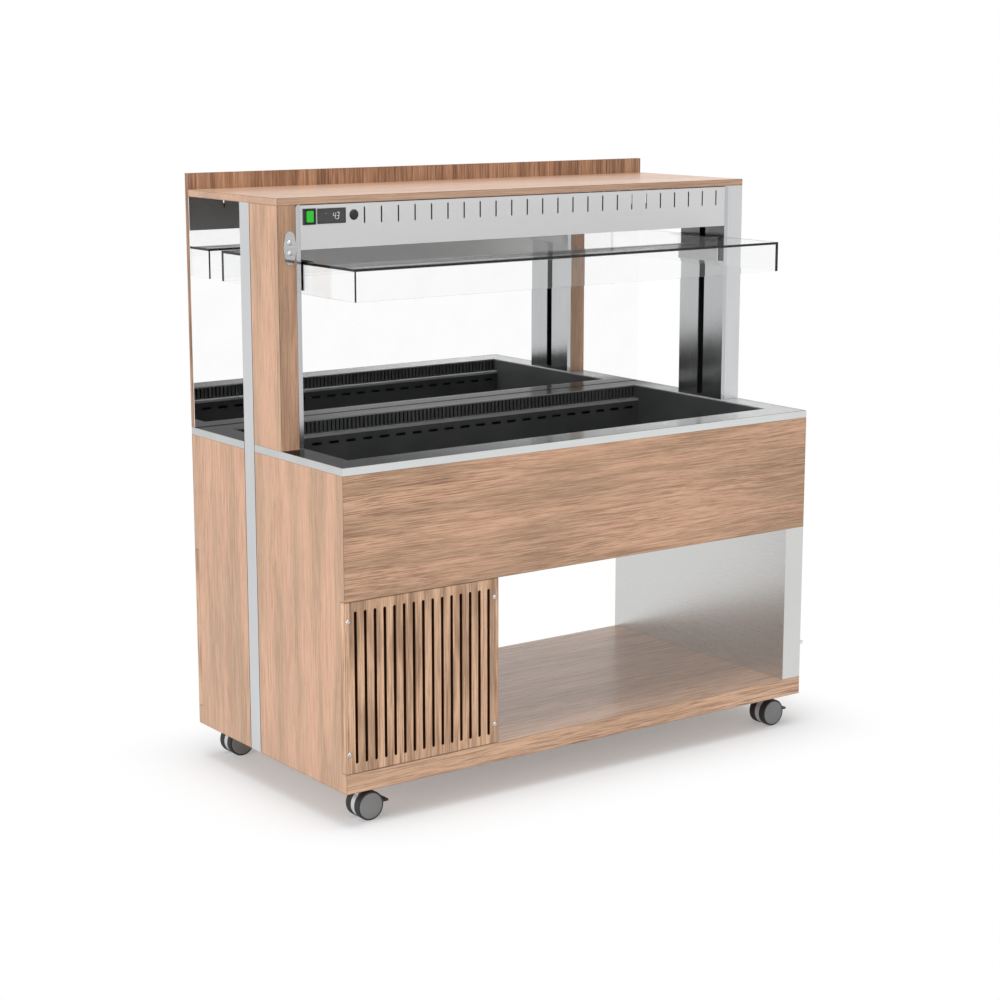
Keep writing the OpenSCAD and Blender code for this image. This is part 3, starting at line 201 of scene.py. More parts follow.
def buildBoardEdges():
    # 1 along the edges of a board's own box, where its edge band meets the next board in a dark joint
    number, vector = "NodeSocketFloat", "NodeSocketVector"
    group, entry, exitNode = startGroup("boardEdges", [
        ("Vector", vector, None), ("Low", vector, None), ("High", vector, None),
        ("Width", number, 0.001)], [("Mask", number)])
    fromLow = vectorMath(group, "SUBTRACT", entry["Vector"], entry["Low"])
    fromHigh = vectorMath(group, "SUBTRACT", entry["High"], entry["Vector"])
    nearest = vectorMath(group, "MINIMUM", fromLow, fromHigh)
    parts = put(group, "ShaderNodeSeparateXYZ", {0: nearest}).outputs
    close = [mathNode(group, "LESS_THAN", parts[index], entry["Width"]) for index in range(3)]
    total = mathNode(group, "ADD", mathNode(group, "ADD", close[0], close[1]), close[2])
    return finishGroup(group, exitNode, {"Mask": mathNode(group, "GREATER_THAN", total, 1.5)})


brushDetail = {"strokes": (5.0, 1300.0), "patches": (3.0, 7.0), "strokeShare": 0.6, "shown": (0.35, 0.65)}


def buildBrushing():
    # fine brushing lines; X runs along the strokes
    number, vector = "NodeSocketFloat", "NodeSocketVector"
    group, entry, exitNode = startGroup("brushing", [
        ("Vector", vector, None), ("Smooth", number, 0.22), ("Rough", number, 0.36)],
        [("Roughness", number), ("Tone", number), ("Height", number)])
    strokes = noise(group, stretched(group, entry["Vector"], *brushDetail["strokes"]), 2.0, 0.6)
    patches = noise(group, stretched(group, entry["Vector"], *brushDetail["patches"]), 2.0)
    share = brushDetail["strokeShare"]
    both = mathNode(group, "ADD", product(group, strokes, share), product(group, patches, 1.0 - share))
    fac = remap(group, both, *brushDetail["shown"])
    span = mathNode(group, "SUBTRACT", entry["Rough"], entry["Smooth"])
    rough = mathNode(group, "ADD", entry["Smooth"], product(group, fac, span))
    return finishGroup(group, exitNode, {"Roughness": rough, "Tone": fac, "Height": strokes})


smudgeDetail = {"shown": (0.42, 0.66), "grit": 1400.0}


def buildSmudge():
    # faint wipe marks and dust that show only in the gloss
    number, vector = "NodeSocketFloat", "NodeSocketVector"
    group, entry, exitNode = startGroup("smudge", [
        ("Vector", vector, None), ("Clean", number, 0.1), ("Smudged", number, 0.2),
        ("Size", number, 9.0)], [("Roughness", number), ("Mask", number), ("Grit", number)])
    wipe = noise(group, scaledBy(group, entry["Vector"], entry["Size"]), 5.0, 0.62)
    mask = remap(group, wipe, *smudgeDetail["shown"])
    span = mathNode(group, "SUBTRACT", entry["Smudged"], entry["Clean"])
    rough = mathNode(group, "ADD", entry["Clean"], product(group, mask, span))
    grit = noise(group, entry["Vector"], 2.0, 0.6, smudgeDetail["grit"])
    return finishGroup(group, exitNode, {"Roughness": rough, "Mask": mask, "Grit": grit})


woodGrain = buildWoodGrain()
brushing = buildBrushing()
smudge = buildSmudge()
boardEdges = buildBoardEdges()
print("salad bar: shared effects built")


# depth of the outermost layer by which a material tells a board's or sheet's faces apart
skin = 0.0004


def startMaterial(name, settings):
    material = bpy.data.materials.new(name)
    material.use_nodes = True
    tree = material.node_tree
    tree.nodes.clear()
    shader = put(tree, "ShaderNodeBsdfPrincipled", settings)
    tree.links.new(shader.outputs[0], put(tree, "ShaderNodeOutputMaterial").inputs["Surface"])
    return material, tree, shader


def objectPlace(tree, axis):
    # object coordinates, turned so that X runs along the given axis
    place = put(tree, "ShaderNodeTexCoord").outputs["Object"]
    if axis == "x":
        return place
    parts = put(tree, "ShaderNodeSeparateXYZ", {0: place}).outputs
    first, second, third = {"y": (1, 0, 2), "z": (2, 1, 0)}[axis]
    return put(tree, "ShaderNodeCombineXYZ", {0: parts[first], 1: parts[second], 2: parts[third]}).outputs[0]


def objectParts(tree):
    place = put(tree, "ShaderNodeTexCoord").outputs["Object"]
    return put(tree, "ShaderNodeSeparateXYZ", {0: place}).outputs


def addBump(tree, shader, height, strength, distance):
    bump = put(tree, "ShaderNodeBump", {"Height": height, "Strength": strength, "Distance": distance})
    tree.links.new(bump.outputs[0], shader.inputs["Normal"])


def makeWood(node, look):
    # a board's own grain, its dark joints and, where the look asks for them, its special faces: painted
    # shade on a front face or in slots, and a near-black inner face
    settings = {"IOR": 1.45, "Coat Weight": look.get("coat", 0.0), "Coat Roughness": 0.2}
    material, tree, shader = startMaterial(node + "Wood", settings)
    own = put(tree, "ShaderNodeTexCoord").outputs["Object"]
    place = objectPlace(tree, look["axis"])
    grain = put(tree, "ShaderNodeGroup", node_tree=woodGrain)
    tree.links.new(place, grain.inputs["Vector"])
    for label, key in (("Light", "light"), ("Dark", "dark"), ("Streak", "streak")):
        grain.inputs[label].default_value = screenColour(*look[key])
    for label in ("Band Width", "Bands", "Figure", "Waviness", "Streaks", "Fine Lines", "Pores"):
        if label in look:
            grain.inputs[label].default_value = look[label]
    low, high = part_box(node)
    sockets = {"Vector": own, "Low": low, "High": high, "Width": boardJoint["width"]}
    joint = put(tree, "ShaderNodeGroup", sockets, node_tree=boardEdges).outputs["Mask"]
    jointTone = screenColour(*boardJoint["colour"])
    tone = mixColour(tree, product(tree, joint, boardJoint["share"]), grain.outputs["Color"], jointTone)
    thick = min(high - low)
    parts = put(tree, "ShaderNodeSeparateXYZ", {0: own}).outputs
    depth = mathNode(tree, "SUBTRACT", max(abs(low.y), abs(high.y)), mathNode(tree, "ABSOLUTE", parts[1]))
    if "paintedFrontShade" in look:
        # painted shade: the narrow front face is multiplied darker, as the post's front lies in shade
        edge = mathNode(tree, "LESS_THAN", depth, skin)
        band = mixColour(tree, 1.0, tone, screenColour(*look["paintedFrontShade"]), "MULTIPLY")
        tone = mixColour(tree, edge, tone, band)
    if "blackInnerFace" in look:
        # the inner face, towards the well, is made near black
        back = mathNode(tree, "GREATER_THAN", depth, thick - innerFaceSkin)
        tone = mixColour(tree, back, tone, innerFaceBlack)
    if "slots" in look:
        # painted shade: the faces inside the slots, where little light reaches, are coloured dark brown
        inside = mathNode(tree, "GREATER_THAN", depth, skin)
        within = [mathNode(tree, "GREATER_THAN", parts[0], low.x + look["slots"]),
                  mathNode(tree, "LESS_THAN", parts[0], high.x - look["slots"]),
                  mathNode(tree, "GREATER_THAN", parts[2], low.z + look["slots"]),
                  mathNode(tree, "LESS_THAN", parts[2], high.z - look["slots"])]
        for mask in within:
            inside = product(tree, inside, mask)
        tone = mixColour(tree, inside, tone, screenColour(*slotShadeColour))
    tree.links.new(tone, shader.inputs["Base Color"])
    tree.links.new(grain.outputs["Roughness"], shader.inputs["Roughness"])
    addBump(tree, shader, grain.outputs["Height"], grainBump["strength"], grainBump["distance"])
    return material


def makeSteel(name, look):
    material, tree, shader = startMaterial(name, {"Metallic": 1.0})
    sockets = {"Vector": objectPlace(tree, look["axis"]), "Smooth": look["smooth"], "Rough": look["rough"]}
    brush = put(tree, "ShaderNodeGroup", sockets, node_tree=brushing)
    tone = mixColour(tree, brush.outputs["Tone"], screenColour(*look["dark"]), screenColour(*look["light"]))
    tree.links.new(tone, shader.inputs["Base Color"])
    tree.links.new(brush.outputs["Roughness"], shader.inputs["Roughness"])
    addBump(tree, shader, brush.outputs["Height"], look.get("bump", 0.05), 0.0002)
    return material


def makeCoated(name, look):
    # plastics, paints and bare castings: one colour, broken by wipe marks and fine grit
    settings = {"Metallic": look.get("metal", 0.0), "Specular IOR Level": look.get("specular", 0.5),
                "Coat Weight": look.get("coat", 0.0), "Coat Roughness": 0.08}
    material, tree, shader = startMaterial(name, settings)
    sockets = {"Vector": objectPlace(tree, "x"), "Clean": look["clean"], "Smudged": look["smudged"],
               "Size": look.get("size", 14.0)}
    marks = put(tree, "ShaderNodeGroup", sockets, node_tree=smudge)
    tone = mixColour(tree, marks.outputs["Mask"], screenColour(*look["colour"]), screenColour(*look["worn"]))
    tree.links.new(tone, shader.inputs["Base Color"])
    tree.links.new(marks.outputs["Roughness"], shader.inputs["Roughness"])
    addBump(tree, shader, marks.outputs["Grit"], look.get("bump", 0.08), 0.0003)
    if "glow" in look:
        tree.links.new(tone, shader.inputs["Emission Color"])
        shader.inputs["Emission Strength"].default_value = look["glow"]
    return material


def makeGlass(name, look):
    settings = {"Base Color": look["tint"], "Transmission Weight": 1.0, "IOR": look["ior"]}
    material, tree, shader = startMaterial(name, settings)
    sockets = {"Vector": objectPlace(tree, "x"), "Clean": 0.0, "Smudged": look["smudged"],
               "Size": look["size"]}
    marks = put(tree, "ShaderNodeGroup", sockets, node_tree=smudge)
    tree.links.new(marks.outputs["Roughness"], shader.inputs["Roughness"])
    return material


boardJoint = {"width": 0.0013, "share": 0.5, "colour": (110, 78, 56)}
grainBump = {"strength": 0.25, "distance": 0.0004}
# painted shade for the faces inside the grille's slots
slotShadeColour = (74, 40, 16)
# near-black colour for the fascias' inner faces
innerFaceBlack = (0.004, 0.004, 0.004, 1.0)
innerFaceSkin = 0.0003
sideLook = {"axis": "z", "light": (211, 167, 138), "dark": (184, 150, 122), "streak": (150, 110, 84),
            "Band Width": 15.0, "Bands": 0.85, "Waviness": 0.02, "Streaks": 0.24,
            "Fine Lines": 0.5, "Pores": 0.25}
# painted shade on the left cladding's front face only
shadedPostLook = dict(sideLook, paintedFrontShade=(237, 234, 231))
frontLook = {"axis": "x", "light": (217, 171, 140), "dark": (189, 151, 121), "streak": (128, 90, 66),
             "Band Width": 17.0, "Bands": 1.0, "Figure": 0.12, "Waviness": 0.025, "Streaks": 0.28,
             "Fine Lines": 0.75, "Pores": 0.3, "blackInnerFace": True}
grilleLook = {"axis": "z", "light": (228, 184, 149), "dark": (178, 142, 113), "streak": (128, 92, 68),
              "Band Width": 40.0, "Bands": 1.0, "Waviness": 0.01, "Streaks": 0.6,
              "Fine Lines": 0.8, "Pores": 0.3, "slots": 0.02}
baseLook = {"axis": "x", "light": (222, 178, 144), "dark": (202, 160, 127), "streak": (134, 96, 70),
            "Band Width": 13.0, "Bands": 0.7, "Figure": 0.1, "Waviness": 0.02, "Streaks": 0.4,
            "Fine Lines": 0.8, "Pores": 0.3, "coat": 0.5}
shelfLook = {"axis": "x", "light": (201, 162, 134), "dark": (184, 145, 119), "streak": (150, 112, 86),
             "Band Width": 10.0, "Bands": 0.7, "Figure": 0.1, "Waviness": 0.02, "Streaks": 0.35,
             "Fine Lines": 0.6, "Pores": 0.2, "coat": 0.3}
backLook = {"axis": "z", "light": (192, 148, 116), "dark": (156, 116, 88), "streak": (96, 62, 42),
            "Band Width": 30.0, "Bands": 1.0, "Waviness": 0.01, "Streaks": 0.6,
            "Fine Lines": 0.65, "Pores": 0.25}
postSteel = {"axis": "z", "light": (213, 214, 215), "dark": (200, 201, 203), "smooth": 0.3, "rough": 0.42}
hoodSteel = {"axis": "x", "light": (213, 213, 213), "dark": (207, 207, 207),
             "smooth": 0.4, "rough": 0.46, "bump": 0.01}
# painted shade: a darker copy of the hood steel for the hood's rear, which lies in shade
shadedHoodBack = {"axis": "x", "light": (176, 176, 176), "dark": (168, 168, 168),
            "smooth": 0.4, "rough": 0.46, "bump": 0.01}
wallSteel = {"axis": "y", "light": (212, 212, 211), "dark": (206, 206, 205),
             "smooth": 0.24, "rough": 0.3, "bump": 0.0}
linerSteel = {"axis": "z", "light": (195, 196, 197), "dark": (182, 183, 184), "smooth": 0.14, "rough": 0.24}
topSteel = {"axis": "x", "light": (222, 223, 223), "dark": (206, 207, 207), "smooth": 0.1, "rough": 0.2}
chromeLook = {"axis": "x", "light": (196, 196, 196), "dark": (170, 170, 170), "smooth": 0.08, "rough": 0.14}
aluLook = {"axis": "x", "light": (216, 218, 220), "dark": (200, 202, 205), "smooth": 0.3, "rough": 0.5}
copperLook = {"axis": "x", "light": (222, 142, 104), "dark": (190, 112, 80), "smooth": 0.2, "rough": 0.34}
brassLook = {"axis": "z", "light": (220, 192, 124), "dark": (198, 166, 98), "smooth": 0.22, "rough": 0.36}
wellLook = {"colour": (70, 71, 72), "worn": (76, 77, 78), "clean": 0.3,
            "smudged": 0.4, "size": 6.0, "specular": 0.5}
blackMetal = {"colour": (38, 38, 39), "worn": (46, 46, 47), "clean": 0.35, "smudged": 0.5, "size": 8.0}
blackPlastic = {"colour": (26, 26, 28), "worn": (33, 33, 35), "clean": 0.4, "smudged": 0.55, "bump": 0.2}
dialPlastic = {"colour": (50, 50, 51), "worn": (58, 58, 59), "clean": 0.3, "smudged": 0.4, "bump": 0.1}
dialWindow = {"colour": (46, 46, 48), "worn": (54, 54, 56), "clean": 0.12,
              "smudged": 0.2, "bump": 0.02, "coat": 0.3}
digitLook = {"colour": (206, 208, 210), "worn": (196, 198, 200), "clean": 0.4, "smudged": 0.5, "glow": 0.25}
greenLook = {"colour": (24, 186, 26), "worn": (34, 196, 34), "clean": 0.2,
             "smudged": 0.3, "bump": 0.03, "glow": 0.12}
leverLook = {"colour": (176, 40, 36), "worn": (188, 54, 48), "clean": 0.3, "smudged": 0.42, "bump": 0.15}
whitePlastic = {"colour": (238, 238, 236), "worn": (230, 230, 228), "clean": 0.3, "smudged": 0.42}
silverPlastic = {"colour": (206, 208, 210), "worn": (196, 198, 200), "clean": 0.3,
                 "smudged": 0.42, "metal": 0.2}
discPlastic = {"colour": (134, 134, 134), "worn": (127, 127, 127), "clean": 0.42, "smudged": 0.55}
treadRubber = {"colour": (34, 36, 36), "worn": (46, 47, 47), "clean": 0.55,
               "smudged": 0.75, "bump": 0.25, "size": 40.0}
mirrorLook = {"colour": (253, 253, 253), "worn": (251, 251, 251), "clean": 0.0,
              "smudged": 0.012, "metal": 1.0, "bump": 0.0}
canopyGlass = {"tint": (0.965, 0.968, 0.967, 1.0), "ior": 1.45, "smudged": 0.015, "size": 5.0}

boards = {
    "side_front_left": sideLook, "side_rear_left": sideLook, "side_front_right": sideLook,
    "side_rear_right": sideLook, "cladding_left": shadedPostLook, "cladding_right": sideLook,
    "fascia_front": frontLook, "fascia_rear": frontLook,
    "grille_front": grilleLook, "grille_rear": grilleLook,
    "compartment_wall": dict(grilleLook, slots=1.0), "base_board": baseLook, "top_shelf": shelfLook,
    "back_panel": backLook,
}
finish = {node: makeWood(node, look) for node, look in boards.items()}
casterTags = ("fl", "fr", "rl", "rr")
steels = {
    "postSteel": (postSteel, ["uprights"]), "linerSteel": (linerSteel, ["post_liners"]),
    "hoodSteel": (hoodSteel, ["hood_front", "canopy_brackets"]), "hoodBackSteel": (shadedHoodBack, ["hood_rear"]),
    "wallSteel": (wallSteel, ["end_wall", "bay_ceiling"]),
    "chromeSteel": (chromeLook, ["oval_plate", "dome_screws", "caster_plates", "caster_screws",
                                 "spring_rods"]),
    "finAluminium": (aluLook, ["condenser", "hood_lamp"]),
    "copperTube": (copperLook, ["evaporator_coil", "pipes"]),
    "brassCasting": (brassLook, ["drain_valve"]),
}
coatings = {
    "hoodFloorPaint": (wellLook, ["hood_floor"]),
    "blackMetal": (blackMetal, ["compressor", "guide_rails", "gas_springs"]),
    "blackPlastic": (blackPlastic, ["switch_housings", "round_button", "cable_gland", "condenser_fan",
                                    "caster_pedal_fl", "caster_pedal_fr"]),
    "dialPlastic": (dialPlastic, ["thermostat"]), "greenPlastic": (greenLook, ["rocker"]),
    "leverPaint": (leverLook, ["drain_lever"]),
    "whitePlastic": (whitePlastic, ["side_buffers", "lamp_diffuser"]),
    "mirrorSilver": (mirrorLook, ["mirror"]),
    "silverPlastic": (silverPlastic, ["caster_frame_" + tag for tag in casterTags]),
    "discPlastic": (discPlastic, ["caster_wheels_" + tag for tag in casterTags]),
}
for name, (look, names) in steels.items():
    material = makeSteel(name, look)
    finish.update({node: material for node in names})
for name, (look, names) in coatings.items():
    material = makeCoated(name, look)
    finish.update({node: material for node in names})
glass = makeGlass("canopyGlass", canopyGlass)
# painted reflection on the worktop: a darker tone towards the left and rear, less metal on the right, and a
# light cut edge
worktopPaintedReflection = {"from": -0.6, "to": 0.55, "edge": 0.004, "rear": 0.7, "rearFrom": 0.2, "rearTo": 0.3,
               "left": (168, 169, 169), "rightMetal": 0.35, "grazing": 0.2, "cut": (150, 151, 151),
               "hem": 0.0005}
# painted highlight on the well's ledge and folded lip
wellLipHighlight = {"colour": (158, 159, 159), "depth": 0.007, "strip": 0.006, "inner": 0.25, "above": 0.0003,
           "below": 0.0002}


def insideBox(tree, parts, low, high):
    # 1 where every coordinate lies between its two limits; None leaves one open
    mask = None
    for socket, least, most in zip(parts, low, high):
        for limit, operation in ((least, "GREATER_THAN"), (most, "LESS_THAN")):
            if limit is not None:
                step = mathNode(tree, operation, socket, limit)
                mask = step if mask is None else product(tree, mask, step)
    return mask


def mirroredPlace(tree):
    # how far a point is from the middle planes, and its height
    parts = objectParts(tree)
    return [mathNode(tree, "ABSOLUTE", parts[0]), mathNode(tree, "ABSOLUTE", parts[1]), parts[2]], parts


def mainShader(material):
    tree = material.node_tree
    return tree, next(node for node in tree.nodes if node.type == "BSDF_PRINCIPLED")


def makeWorktop(name, look, fade):
    # painted reflection: the sheet's colour darkens towards the left and rear and its right part is less
    # metallic; its fold keeps the plain tone, and the opening's cut edge gets a painted highlight
    material = makeSteel(name, look)
    tree, shader = mainShader(material)
    shader.inputs["Specular Tint"].default_value = (fade["grazing"], fade["grazing"], fade["grazing"], 1.0)
    tone = shader.inputs["Base Color"].links[0].from_socket
    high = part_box("worktop")[1]
    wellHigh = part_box("vent_strips")[1]
    away, parts = mirroredPlace(tree)
    flat = insideBox(tree, away, (None, None, high.z - skin),
                     (high.x - fade["edge"], high.y - fade["edge"], None))
    left = remap(tree, parts[0], fade["from"], fade["to"], 1.0, 0.0)
    behind = remap(tree, parts[1], fade["rearFrom"], fade["rearTo"], 0.0, fade["rear"])
    mask = product(tree, mathNode(tree, "MAXIMUM", left, behind), flat)
    tone = mixColour(tree, mask, tone, screenColour(*fade["left"]))
    # painted highlight: the opening's cut edge is light grey and not metallic
    cut = insideBox(tree, away, (None, None, None),
                    (wellHigh.x + fade["hem"], wellHigh.y - wellLipHighlight["strip"] + fade["hem"], high.z - skin))
    tree.links.new(mixColour(tree, cut, tone, screenColour(*fade["cut"])), shader.inputs["Base Color"])
    plain = product(tree, mathNode(tree, "SUBTRACT", flat, mask), 1.0 - fade["rightMetal"])
    metal = mathNode(tree, "SUBTRACT", mathNode(tree, "SUBTRACT", 1.0, plain), cut, True)
    tree.links.new(metal, shader.inputs["Metallic"])
    return material


def makeWell(name, look, lip):
    # black coated steel; the ledge under the vents and its folded lip are painted light grey as a highlight
    material = makeCoated(name, look)
    tree, shader = mainShader(material)
    tone = shader.inputs["Base Color"].links[0].from_socket
    low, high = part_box("vent_strips")
    away, parts = mirroredPlace(tree)
    lipHighlight = insideBox(tree, away, (None, lip["inner"], low.z - lip["depth"] - lip["below"]),
                     (high.x - worktopPaintedReflection["hem"], high.y, low.z + lip["above"]))
    tree.links.new(mixColour(tree, lipHighlight, tone, screenColour(*lip["colour"])), shader.inputs["Base Color"])
    return material


finish["worktop"] = makeWorktop("worktopSteel", topSteel, worktopPaintedReflection)
lipped = makeWell("wellSteel", wellLook, wellLipHighlight)
finish.update({"well_tank": lipped, "vent_strips": lipped})
finish.update({"canopy_top": glass, "canopy_skirt": glass})
for node, material in finish.items():
    for slot in nodes[node].material_slots:
        slot.material = material
for node in ("canopy_top", "canopy_skirt"):
    nodes[node].visible_shadow = False
print("salad bar: materials on", len(finish), "nodes")


def newPiece(name, builder, materials, body, replaced=(), smooth=False):
    mesh = bpy.data.meshes.new(name)
    builder.to_mesh(mesh)
    builder.free()
    for material in materials:
        mesh.materials.append(material)
    if smooth:
        mesh.shade_smooth()
        mesh.set_sharp_from_angle(angle=radians(35))
    piece = bpy.data.objects.new(name, mesh)
    bpy.context.scene.collection.objects.link(piece)
    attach(piece, body)
    for node in replaced:
        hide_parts(node)
    return piece


def addSlab(builder, outline, depth, rim, matrix):
    # a plate with the given outline: extruded along +Z, its upper rim bevelled, then set in place
    part = bmesh.new()
    face = part.faces.new([part.verts.new((x, y, 0)) for x, y in outline])
    face.normal_update()
    if face.normal.z > 0:
        face.normal_flip()
    grown = bmesh.ops.extrude_face_region(part, geom=[face])["geom"]
    top = [item for item in grown if isinstance(item, bmesh.types.BMVert)]
    bmesh.ops.translate(part, vec=(0, 0, depth), verts=top)
    topFace = next(item for item in grown if isinstance(item, bmesh.types.BMFace))
    if rim:
        bmesh.ops.bevel(part, geom=list(topFace.edges), offset=rim, segments=3, profile=0.5, affect="EDGES")
    bmesh.ops.transform(part, matrix=matrix, verts=part.verts)
    plate = bpy.data.meshes.new("plate")
    part.to_mesh(plate)
    part.free()
    builder.from_mesh(plate)
    bpy.data.meshes.remove(plate)


def roundedOutline(width, height, radius, steps=6):
    points = []
    for cx, cy, start in ((1, 1, 0), (-1, 1, 90), (-1, -1, 180), (1, -1, 270)):
        for step in range(steps + 1):
            angle = radians(start + 90 * step / steps)
            across = cx * (width / 2 - radius) + radius * cos(angle)
            up = cy * (height / 2 - radius) + radius * sin(angle)
            points.append((across, up))
    return points


def onFront(x, y, z):
    # plate coordinates to the counter's front: plate X to +X, plate Y to +Z, plate Z towards the viewer
    return Matrix.Translation((x, y, z)) @ Matrix.Rotation(radians(90), 4, "X")


def addLathe(builder, profile, centre, direction, steps=64):
    # profile rows are (radius, along, material index), turned about an axis through centre along +Y or -Y
    rings = []
    for radius, along, index in profile:
        ring = []
        for step in range(steps):
            angle = 2 * pi * step / steps
            spot = Vector((radius * cos(angle), direction * along, radius * sin(angle)))
            ring.append(builder.verts.new(centre + spot))
        rings.append(ring)
    for row in range(len(profile) - 1):
        for step in range(steps):
            after = (step + 1) % steps
            corners = [rings[row][step], rings[row][after], rings[row + 1][after], rings[row + 1][step]]
            face = builder.faces.new(corners if direction > 0 else corners[::-1])
            face.material_index = profile[row][2]
    bmesh.ops.remove_doubles(builder, verts=builder.verts, dist=0.000001)


wheelShape = {"tread": 0.004, "inner": 0.0085, "width": 0.0205, "dome": 0.0008, "bore": 0.00405,
              "hub": 0.010, "recess": 0.0012}
grooveShape = {"width": 0.0016, "slope": 0.0004, "depth": 0.0005, "fromInner": 0.0066, "fromOuter": 0.0080}
disc = finish["caster_wheels_fl"]
tread = makeCoated("treadRubber", treadRubber)


def wheelGroove(radius, start):
    # a shallow groove round the tread
    width, slope, bottom = grooveShape["width"], grooveShape["slope"], radius - grooveShape["depth"]
    return [(radius, start, 1), (bottom, start + slope, 1), (bottom, start + width - slope, 1),
            (radius, start + width, 1)]


def makeCasterWheels(tag):
    # two wheels about the axle: a grey disc (material 0) in a rounded tread with two grooves (1)
    shape = wheelShape
    centre = Vector(pivots["caster_wheels_" + tag])
    radius = centre.z
    face = radius - shape["tread"]
    inner, outer = shape["inner"], shape["inner"] + shape["width"]
    recess, dome = inner + shape["recess"], outer + shape["dome"]
    profile = [(shape["bore"], inner + 0.0006, 0), (shape["hub"], inner, 0),
               (shape["hub"] + 0.0005, recess, 0),
               (face - 0.003, recess, 0), (face - 0.0025, inner + 0.0002, 0), (face, inner + 0.0002, 1),
               (radius - 0.0022, inner, 1), (radius - 0.0007, inner + 0.0008, 1),
               (radius, inner + 0.0026, 1)]
    profile += wheelGroove(radius, inner + grooveShape["fromInner"])
    profile += wheelGroove(radius, outer - grooveShape["fromOuter"])
    profile += [(radius, outer - 0.0026, 1), (radius - 0.0008, outer - 0.0008, 1),
                (radius - 0.0024, outer, 1), (face + 0.0003, outer, 1), (face, outer - 0.0005, 1),
                (face - 0.0003, outer - 0.0005, 0), (face - 0.0008, outer, 0),
                (face - 0.0022, outer + 0.0002, 0),
                (face * 0.8, outer + 0.0004, 0), (face * 0.45, outer + 0.0007, 0), (face * 0.2, dome, 0),
                (0.0, dome, 0)]
    builder = bmesh.new()
    for direction in (1, -1):
        addLathe(builder, profile, centre, direction)
    newPiece("casterWheels_" + tag, builder, [disc, tread], "caster_wheels_" + tag,
             ["caster_wheels_" + tag], smooth=True)


for tag in casterTags:
    makeCasterWheels(tag)

rockerShape = {"tilt": -8.0, "half": 0.012, "height": 0.030, "rim": 0.0006, "back": 0.004,
               "wing": -0.006, "valley": -0.0036, "chamfer": 0.001, "capWidth": 0.0188,
               "capHeight": 0.0272, "capAside": 0.0022, "capFace": -0.0039, "capOut": 0.0021,
               "corner": 0.0032, "capRim": 0.0009}


def makeRocker():
    # a V-shaped body on its pivot, with a lit cap on one wing
    shape = rockerShape
    seat = Matrix.Translation(pivots["rocker"]) @ Matrix.Rotation(radians(shape["tilt"]), 4, "Z")
    half, back = shape["half"], shape["back"]
    plan = [(half - shape["chamfer"], back), (-half + shape["chamfer"], back), (-half, shape["wing"]),
            (0, shape["valley"]), (half, shape["wing"])]
    builder = bmesh.new()
    addSlab(builder, plan, shape["height"], shape["rim"],
            seat @ Matrix.Translation((0, 0, -shape["height"] / 2)))
    newPiece("rockerBody", builder, [finish["switch_housings"]], "rocker", ["rocker"])
    builder = bmesh.new()
    capPlace = Matrix.Translation((shape["capAside"], shape["capFace"], 0))
    addSlab(builder, roundedOutline(shape["capWidth"], shape["capHeight"], shape["corner"]),
            shape["capOut"], shape["capRim"], seat @ capPlace @ Matrix.Rotation(radians(90), 4, "X"))
    newPiece("rockerCap", builder, [finish["rocker"]], "rocker")


makeRocker()

dial = {"windowWidth": 0.069, "windowHeight": 0.028, "windowCorner": 0.0015, "windowDepth": 0.0011,
        "windowRim": 0.0003, "windowSink": 0.0015, "digitHeight": 0.0150, "digitWidth": 0.0062,
        "stroke": 0.0015, "slant": 0.14, "digitX": 0.0035, "digitGap": 0.0095, "digitDepth": 0.0002,
        "digitSink": 0.0004, "lampSize": 0.0014, "lampCorner": 0.0006, "lampX": -0.017, "lampZ": 0.006}
low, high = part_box("thermostat")
dialX, dialY, dialZ = (low.x + high.x) / 2, low.y, (low.z + high.z) / 2
builder = bmesh.new()
addSlab(builder, roundedOutline(dial["windowWidth"], dial["windowHeight"], dial["windowCorner"]),
        dial["windowDepth"], dial["windowRim"], onFront(dialX, dialY + dial["windowSink"], dialZ))
newPiece("dialWindow", builder, [makeCoated("dialWindow", dialWindow)], "counter")

# each stroke's two ends on a grid of one digit width by two half heights
segments = {"a": (0, 2, 1, 2), "b": (1, 1, 1, 2), "c": (1, 0, 1, 1), "d": (0, 0, 1, 0), "e": (0, 0, 0, 1),
            "f": (0, 1, 0, 2), "g": (0, 1, 1, 1)}


def addDigit(builder, lit, left):
    # strokes between the six corners of a two-storey frame
    for key in lit:
        x0, y0, x1, y1 = segments[key]
        start = Vector((left + x0 * dial["digitWidth"], (y0 - 1) * dial["digitHeight"] / 2))
        end = Vector((left + x1 * dial["digitWidth"], (y1 - 1) * dial["digitHeight"] / 2))
        step = (end - start).normalized()
        side = Vector((-step.y, step.x)) * dial["stroke"] / 2
        tip = dial["stroke"] * 0.35
        start, end = start + step * tip, end - step * tip
        outline = [start + side, start - step * tip, start - side, end - side, end + step * tip, end + side]
        outline = [(p.x + p.y * dial["slant"], p.y) for p in outline]
        addSlab(builder, outline, dial["digitDepth"], 0, onFront(dialX, dialY + dial["digitSink"], dialZ))


builder = bmesh.new()
addDigit(builder, "bcfg", dial["digitX"])
addDigit(builder, "abcdg", dial["digitX"] + dial["digitGap"])
addSlab(builder, roundedOutline(dial["lampSize"], dial["lampSize"], dial["lampCorner"]),
        dial["digitDepth"], 0,
        onFront(dialX + dial["lampX"], dialY + dial["digitSink"], dialZ + dial["lampZ"]))
newPiece("dialDigits", builder, [makeCoated("dialDigits", digitLook)], "counter")
print("salad bar: casters and controls detailed")


